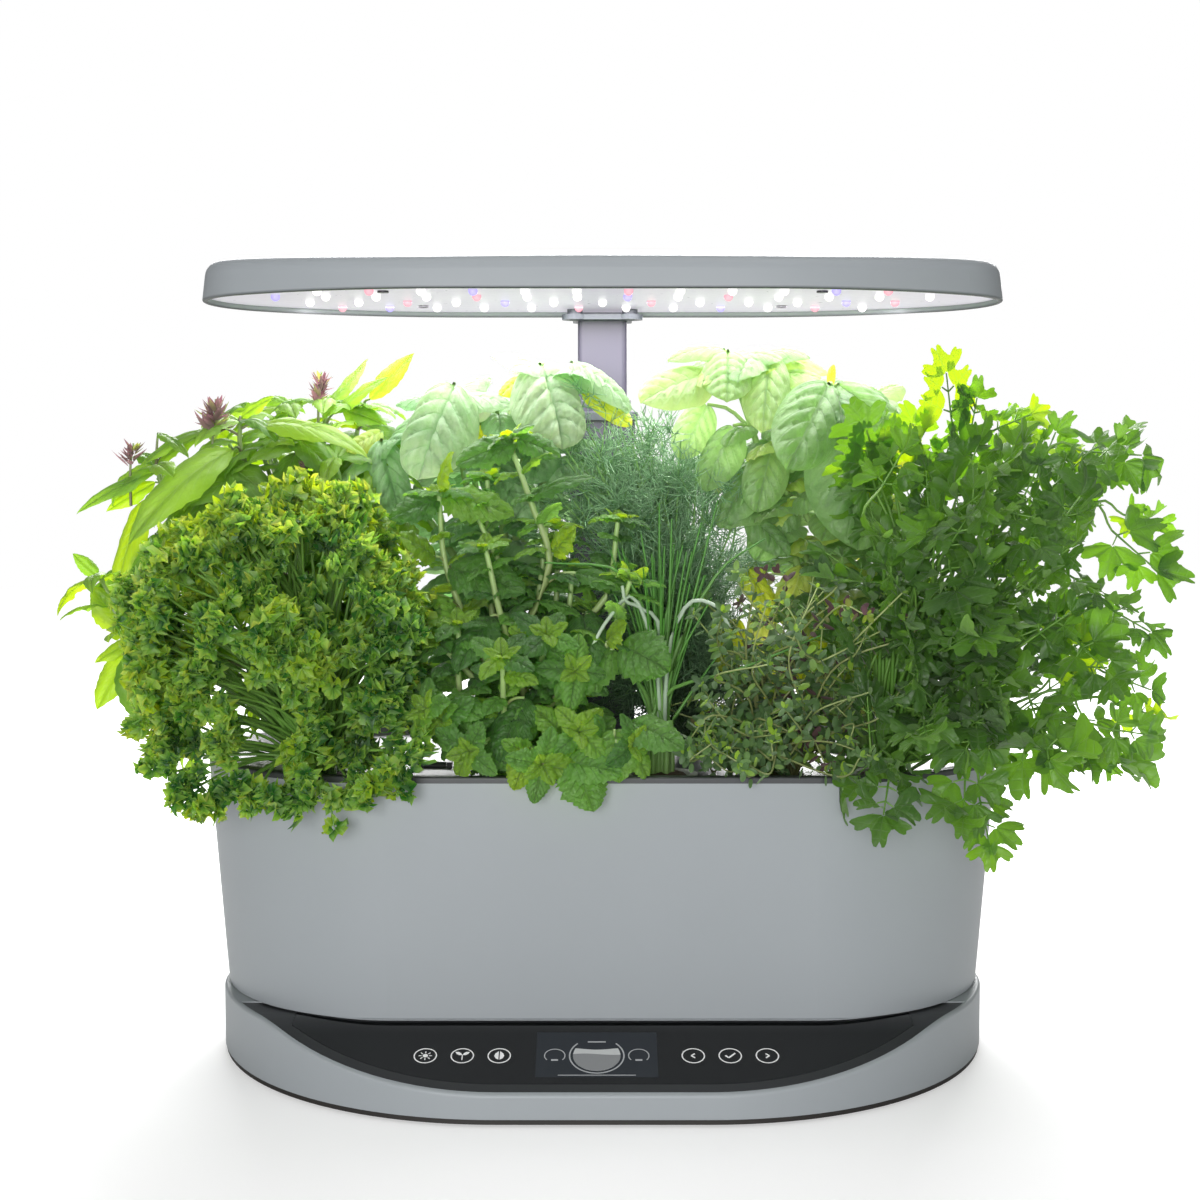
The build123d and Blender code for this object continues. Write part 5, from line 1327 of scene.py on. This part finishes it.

# ------------------------------------------------------------------ dill
# A soft blue-green cloud: every stem carries fronds that fork twice and end in threads that
# taper to 0.3 mm.
# Dill darkens strongly towards its foot: painted shade inside the cloud, with older growth.
dill_leaf = stem_material("dill", (0.07, 0.22, 0.08), (0.42, 0.66, 0.38), flush=0.0, inner=0.25)
dill_stem = stem_material("dill_stem", (0.08, 0.24, 0.05), (0.30, 0.52, 0.18), flush=0.0, inner=0.4)
dill = Growth("dill", 91)
dill_paths = []
for number in range(64):
    aim = dill.random.uniform((-26, -12, 196), (84, 40, 348))
    if number % 3 == 0:
        aim[:2] = dill.random.uniform((-30, -16), (30, 4))
    if number % 3 == 1:
        aim[2] = dill.random.uniform(300, 352)
    start, end = dill.feet(1, 0.008), metres([aim])
    dill_paths.append(curve(np.vstack([start, knees(dill, start, end, 0.3, 0.55, 0.003), end]), 16))
grow_stalks(dill, dill_paths, 0.0010, 0.0005)


def forks(growth, paths, amount, low, high, length, spread, rise, count):
    """Side shoots set along paths: each leaves sideways, turned by a random angle, and curves up."""
    paths = np.asarray(paths)
    total = len(paths) * amount
    at = growth.random.uniform(low, high, total) * (paths.shape[1] - 1)
    which = np.repeat(np.arange(len(paths)), amount)
    i = at.astype(int).clip(0, paths.shape[1] - 2)
    t = (at - i)[:, None]
    start = paths[which, i] * (1 - t) + paths[which, i + 1] * t
    tangent = unit(paths[which, i + 1] - paths[which, i])
    out_way = square_to(growth.random.normal(0, 1, (total, 3)), tangent)
    way = unit(out_way * spread + tangent * (1 - spread) + np.array([0, 0, rise]))
    taper = (1.15 - 0.5 * (at / (paths.shape[1] - 1)))[:, None]
    reach = length * growth.random.uniform(0.6, 1.25, (total, 1)) * taper
    lift = unit(tangent + np.array([0, 0, 0.6])) * reach * 0.25
    share = np.linspace(0, 1, count)[None, :, None]
    return start[:, None] + way[:, None] * reach[:, None] * share + lift[:, None] * share**2


fronds = forks(dill, dill_paths, 9, 0.10, 1.0, 0.032, 0.72, 0.15, 7)
grow_stalks(dill, fronds, 0.00045, 0.00025, sides=3)
twigs = forks(dill, fronds, 7, 0.2, 1.0, 0.014, 0.65, 0.05, 4)
grow_stalks(dill, twigs, 0.00034, 0.00020, sides=3, kind=0)
threads = forks(dill, twigs, 5, 0.25, 1.0, 0.0100, 0.55, 0.0, 3)
grow_stalks(dill, threads, 0.00034, 0.00015, sides=3, kind=0)
harvest(dill, [dill_leaf, dill_stem], lift=0.041)

# ------------------------------------------------------------------ leafy basil
# The tallest herb. Large glossy leaves hang from the top shoots, one of them the size of a palm
# with light shining through beside its midrib.
large_leaf = leaf_material("large_basil", (0.022, 0.115, 0.016), (0.36, 0.55, 0.22), (0.55, 0.72, 0.45),
                           slant=0.42, through=0.38, gloss=0.9, relief=0.0011, bloom=0.2,
                           lit=(0.38, 0.54, 0.03))
leafy = Growth("leafy_basil", 101)
leafy_paths = stems_to(leafy, [
    [(120, 34, 250), (84, 8, 376)], [(136, 34, 260), (126, 2, 358)], [(118, 34, 240), (70, 6, 374)],
    [(150, 34, 260), (146, 10, 352)], [(124, 36, 240), (94, 10, 330)], [(140, 34, 240), (108, 12, 300)],
    [(140, 46, 240), (120, 68, 340)], [(156, 46, 230), (176, 60, 320)], [(150, 34, 230), (168, 20, 290)],
], start=0.0032, end=0.0016)
placed_leaves(leafy, basil_blade, leafy_paths, [
    ((66, 0, 381), (35, -12, 374), 17, 0.7, 0.5), ((60, -2, 368), (20, -24, 352), 34, 0.6, 0.75),
    ((68, -5, 380), (66, -28, 352), 32, 0.5, 0.65), ((80, 20, 379), (124, 8, 368), 22, 0.6, 0.8),
    ((91, -2, 379), (85, -24, 336), 30, 0.5, 0.75), ((122, -12, 362), (96, -48, 316), 42, 0.6, 0.35),
    ((128, -5, 362), (163, -22, 331), 22, 0.9, 0.35), ((132, -10, 348), (137, -34, 273), 60, 0.5, 0.3),
    ((125, 0, 361), (126, 0, 373), 7, 0.1, 1.0), ((93, 0, 330), (83, -18, 293), 29, 0.5, 0.55),
    ((80, 0, 291), (101, -12, 269), 22, 0.5, 0.25), ((161, 10, 337), (173, 0, 309), 16, 0.4, 0.95),
    ((100, 20, 372), (112, 24, 344), 30, 0.5, 0.4), ((140, 16, 344), (160, 18, 300), 30, 0.5, 0.5),
    ((72, 6, 340), (56, -6, 304), 30, 0.7, 0.4), ((86, 10, 316), (64, -2, 284), 30, 0.6, 0.3),
    ((58, 14, 352), (42, 4, 322), 26, 0.6, 0.6), ((104, 12, 300), (84, 0, 266), 30, 0.5, 0.2),
    # These low leaves behind the thyme take the painted lit tone, as if lit from behind.
    ((80, 20, 262), (96, 8, 234), 20, 0.4, 1.0), ((112, 20, 262), (100, 6, 230), 22, 0.4, 0.9),
    ((128, 20, 250), (140, 6, 220), 22, 0.4, 1.0), ((92, 20, 240), (84, 4, 210), 20, 0.4, 0.9),
    ((120, 24, 230), (110, 6, 198), 22, 0.4, 1.0), ((146, 20, 236), (156, 6, 204), 22, 0.4, 0.85),
    ((76, 24, 232), (66, 8, 204), 18, 0.4, 1.0), ((100, 22, 212), (92, 6, 184), 20, 0.4, 0.95),
], stalk=(0.0014, 0.0010), curl=0.9, swell=0.11, ruffle=0.03, ruffles=1.3)
for path in leafy_paths:
    leaf_pairs(leafy, basil_blade, path, 0.025, 0.046, 0.68, first=0.2, droop=1.2, shade=(0.0, 0.98),
               curl=0.9, swell=0.07, ruffle=0.03)
harvest(leafy, [large_leaf, basil_stem])

# ------------------------------------------------------------------ lamp hood
# A thin grey shell with a gently crowned roof carries a white gloss reflector, with a board of
# small diodes behind its windows: mostly white ones, some red and some blue.
# Painted shade: the lowest band of the shell, round its lip by the reflector, is darkened.
lip_height, lip_painted_shade = 0.0016, 0.15
hood_grey_lip_shade = moulded("hood_grey_lip_shade", satin_colour, satin_roughness)
finish(hood_grey_lip_shade, "hood_shell")
hood_tree, hood_shader = hood_grey_lip_shade.node_tree, shader_of(hood_grey_lip_shade)
hood_height = new_node(hood_tree, "SeparateXYZ", Vector=own_place(hood_tree)).outputs["Z"]
hood_lip_shade = new_node(hood_tree, "MapRange", Value=hood_height, From_Min=hood_underside,
                    From_Max=hood_underside + lip_height, To_Min=lip_painted_shade)
hood_shaded_colour = new_node(hood_tree, "HueSaturation", Value=hood_lip_shade.outputs["Result"],
                     Color=hood_shader.inputs["Base Color"].links[0].from_socket)
set_sockets(hood_shader, Base_Color=hood_shaded_colour.outputs["Color"])
reflector = moulded("reflector_gloss_painted_glow", (0.36, 0.32, 0.39), 0.3, grain=200.0, mottle=0.01, depth=0.000002)
# Painted glow: the reflector gives off a faint lavender light of its own, standing in for the diodes' light
# spread over it.
set_sockets(shader_of(reflector), Emission_Color=(0.80, 0.76, 0.86), Emission_Strength=0.45)
finish(reflector, "reflector_panel")
finish(moulded("board_white", (0.75, 0.75, 0.76), 0.4), "led_board")


def middles(data):
    """Middle of each small body of a mesh, where the bodies stand further apart than they are long."""
    apart = 0.008
    groups = []
    for vertex in data.vertices:
        for group in groups:
            if (group[0] - vertex.co).length < apart:
                group.append(vertex.co)
                break
        else:
            groups.append([vertex.co])
    return [sum(group, Vector()) / len(group) for group in groups]


def diode(name, colour, glow):
    """Lit diode: its lens is palest in the middle and keeps its colour at the rim."""
    material, tree, shader = new_material(name)
    facing = new_node(tree, "LayerWeight", Blend=0.5).outputs["Facing"]
    pale = tuple(0.45 + 0.55 * part for part in colour)
    set_sockets(shader, Base_Color=(0.05, 0.05, 0.05), Roughness=0.2, Emission_Strength=glow,
                Emission_Color=mixed(tree, facing, pale, colour))
    return material


lens_radius, lens_sink = 0.00245, 0.0008
for name, slot, colour, glow in (("white_leds", "led_warm", (1.0, 0.97, 0.94), 1.6),
                                 ("red_leds", "led_red", (1.0, 0.22, 0.36), 1.0),
                                 ("blue_leds", "led_blue", (0.30, 0.20, 1.0), 1.1)):
    lit = diode(f"lit_{name}", colour, glow)
    finish(lit, name)
    domes = bmesh.new()
    for middle in middles(nodes[name].data):
        place = Matrix.Translation((middle[0], middle[1], lamp_low[2] - lens_sink))
        bmesh.ops.create_uvsphere(domes, u_segments=14, v_segments=9, radius=lens_radius, matrix=place)
    dome_data = bpy.data.meshes.new(f"{name}_lenses")
    domes.to_mesh(dome_data)
    domes.free()
    smooth(dome_data)
    dome_data.materials.append(lit)
    lenses = placed(f"{name}_lenses", dome_data)
    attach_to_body(lenses, "lamp")
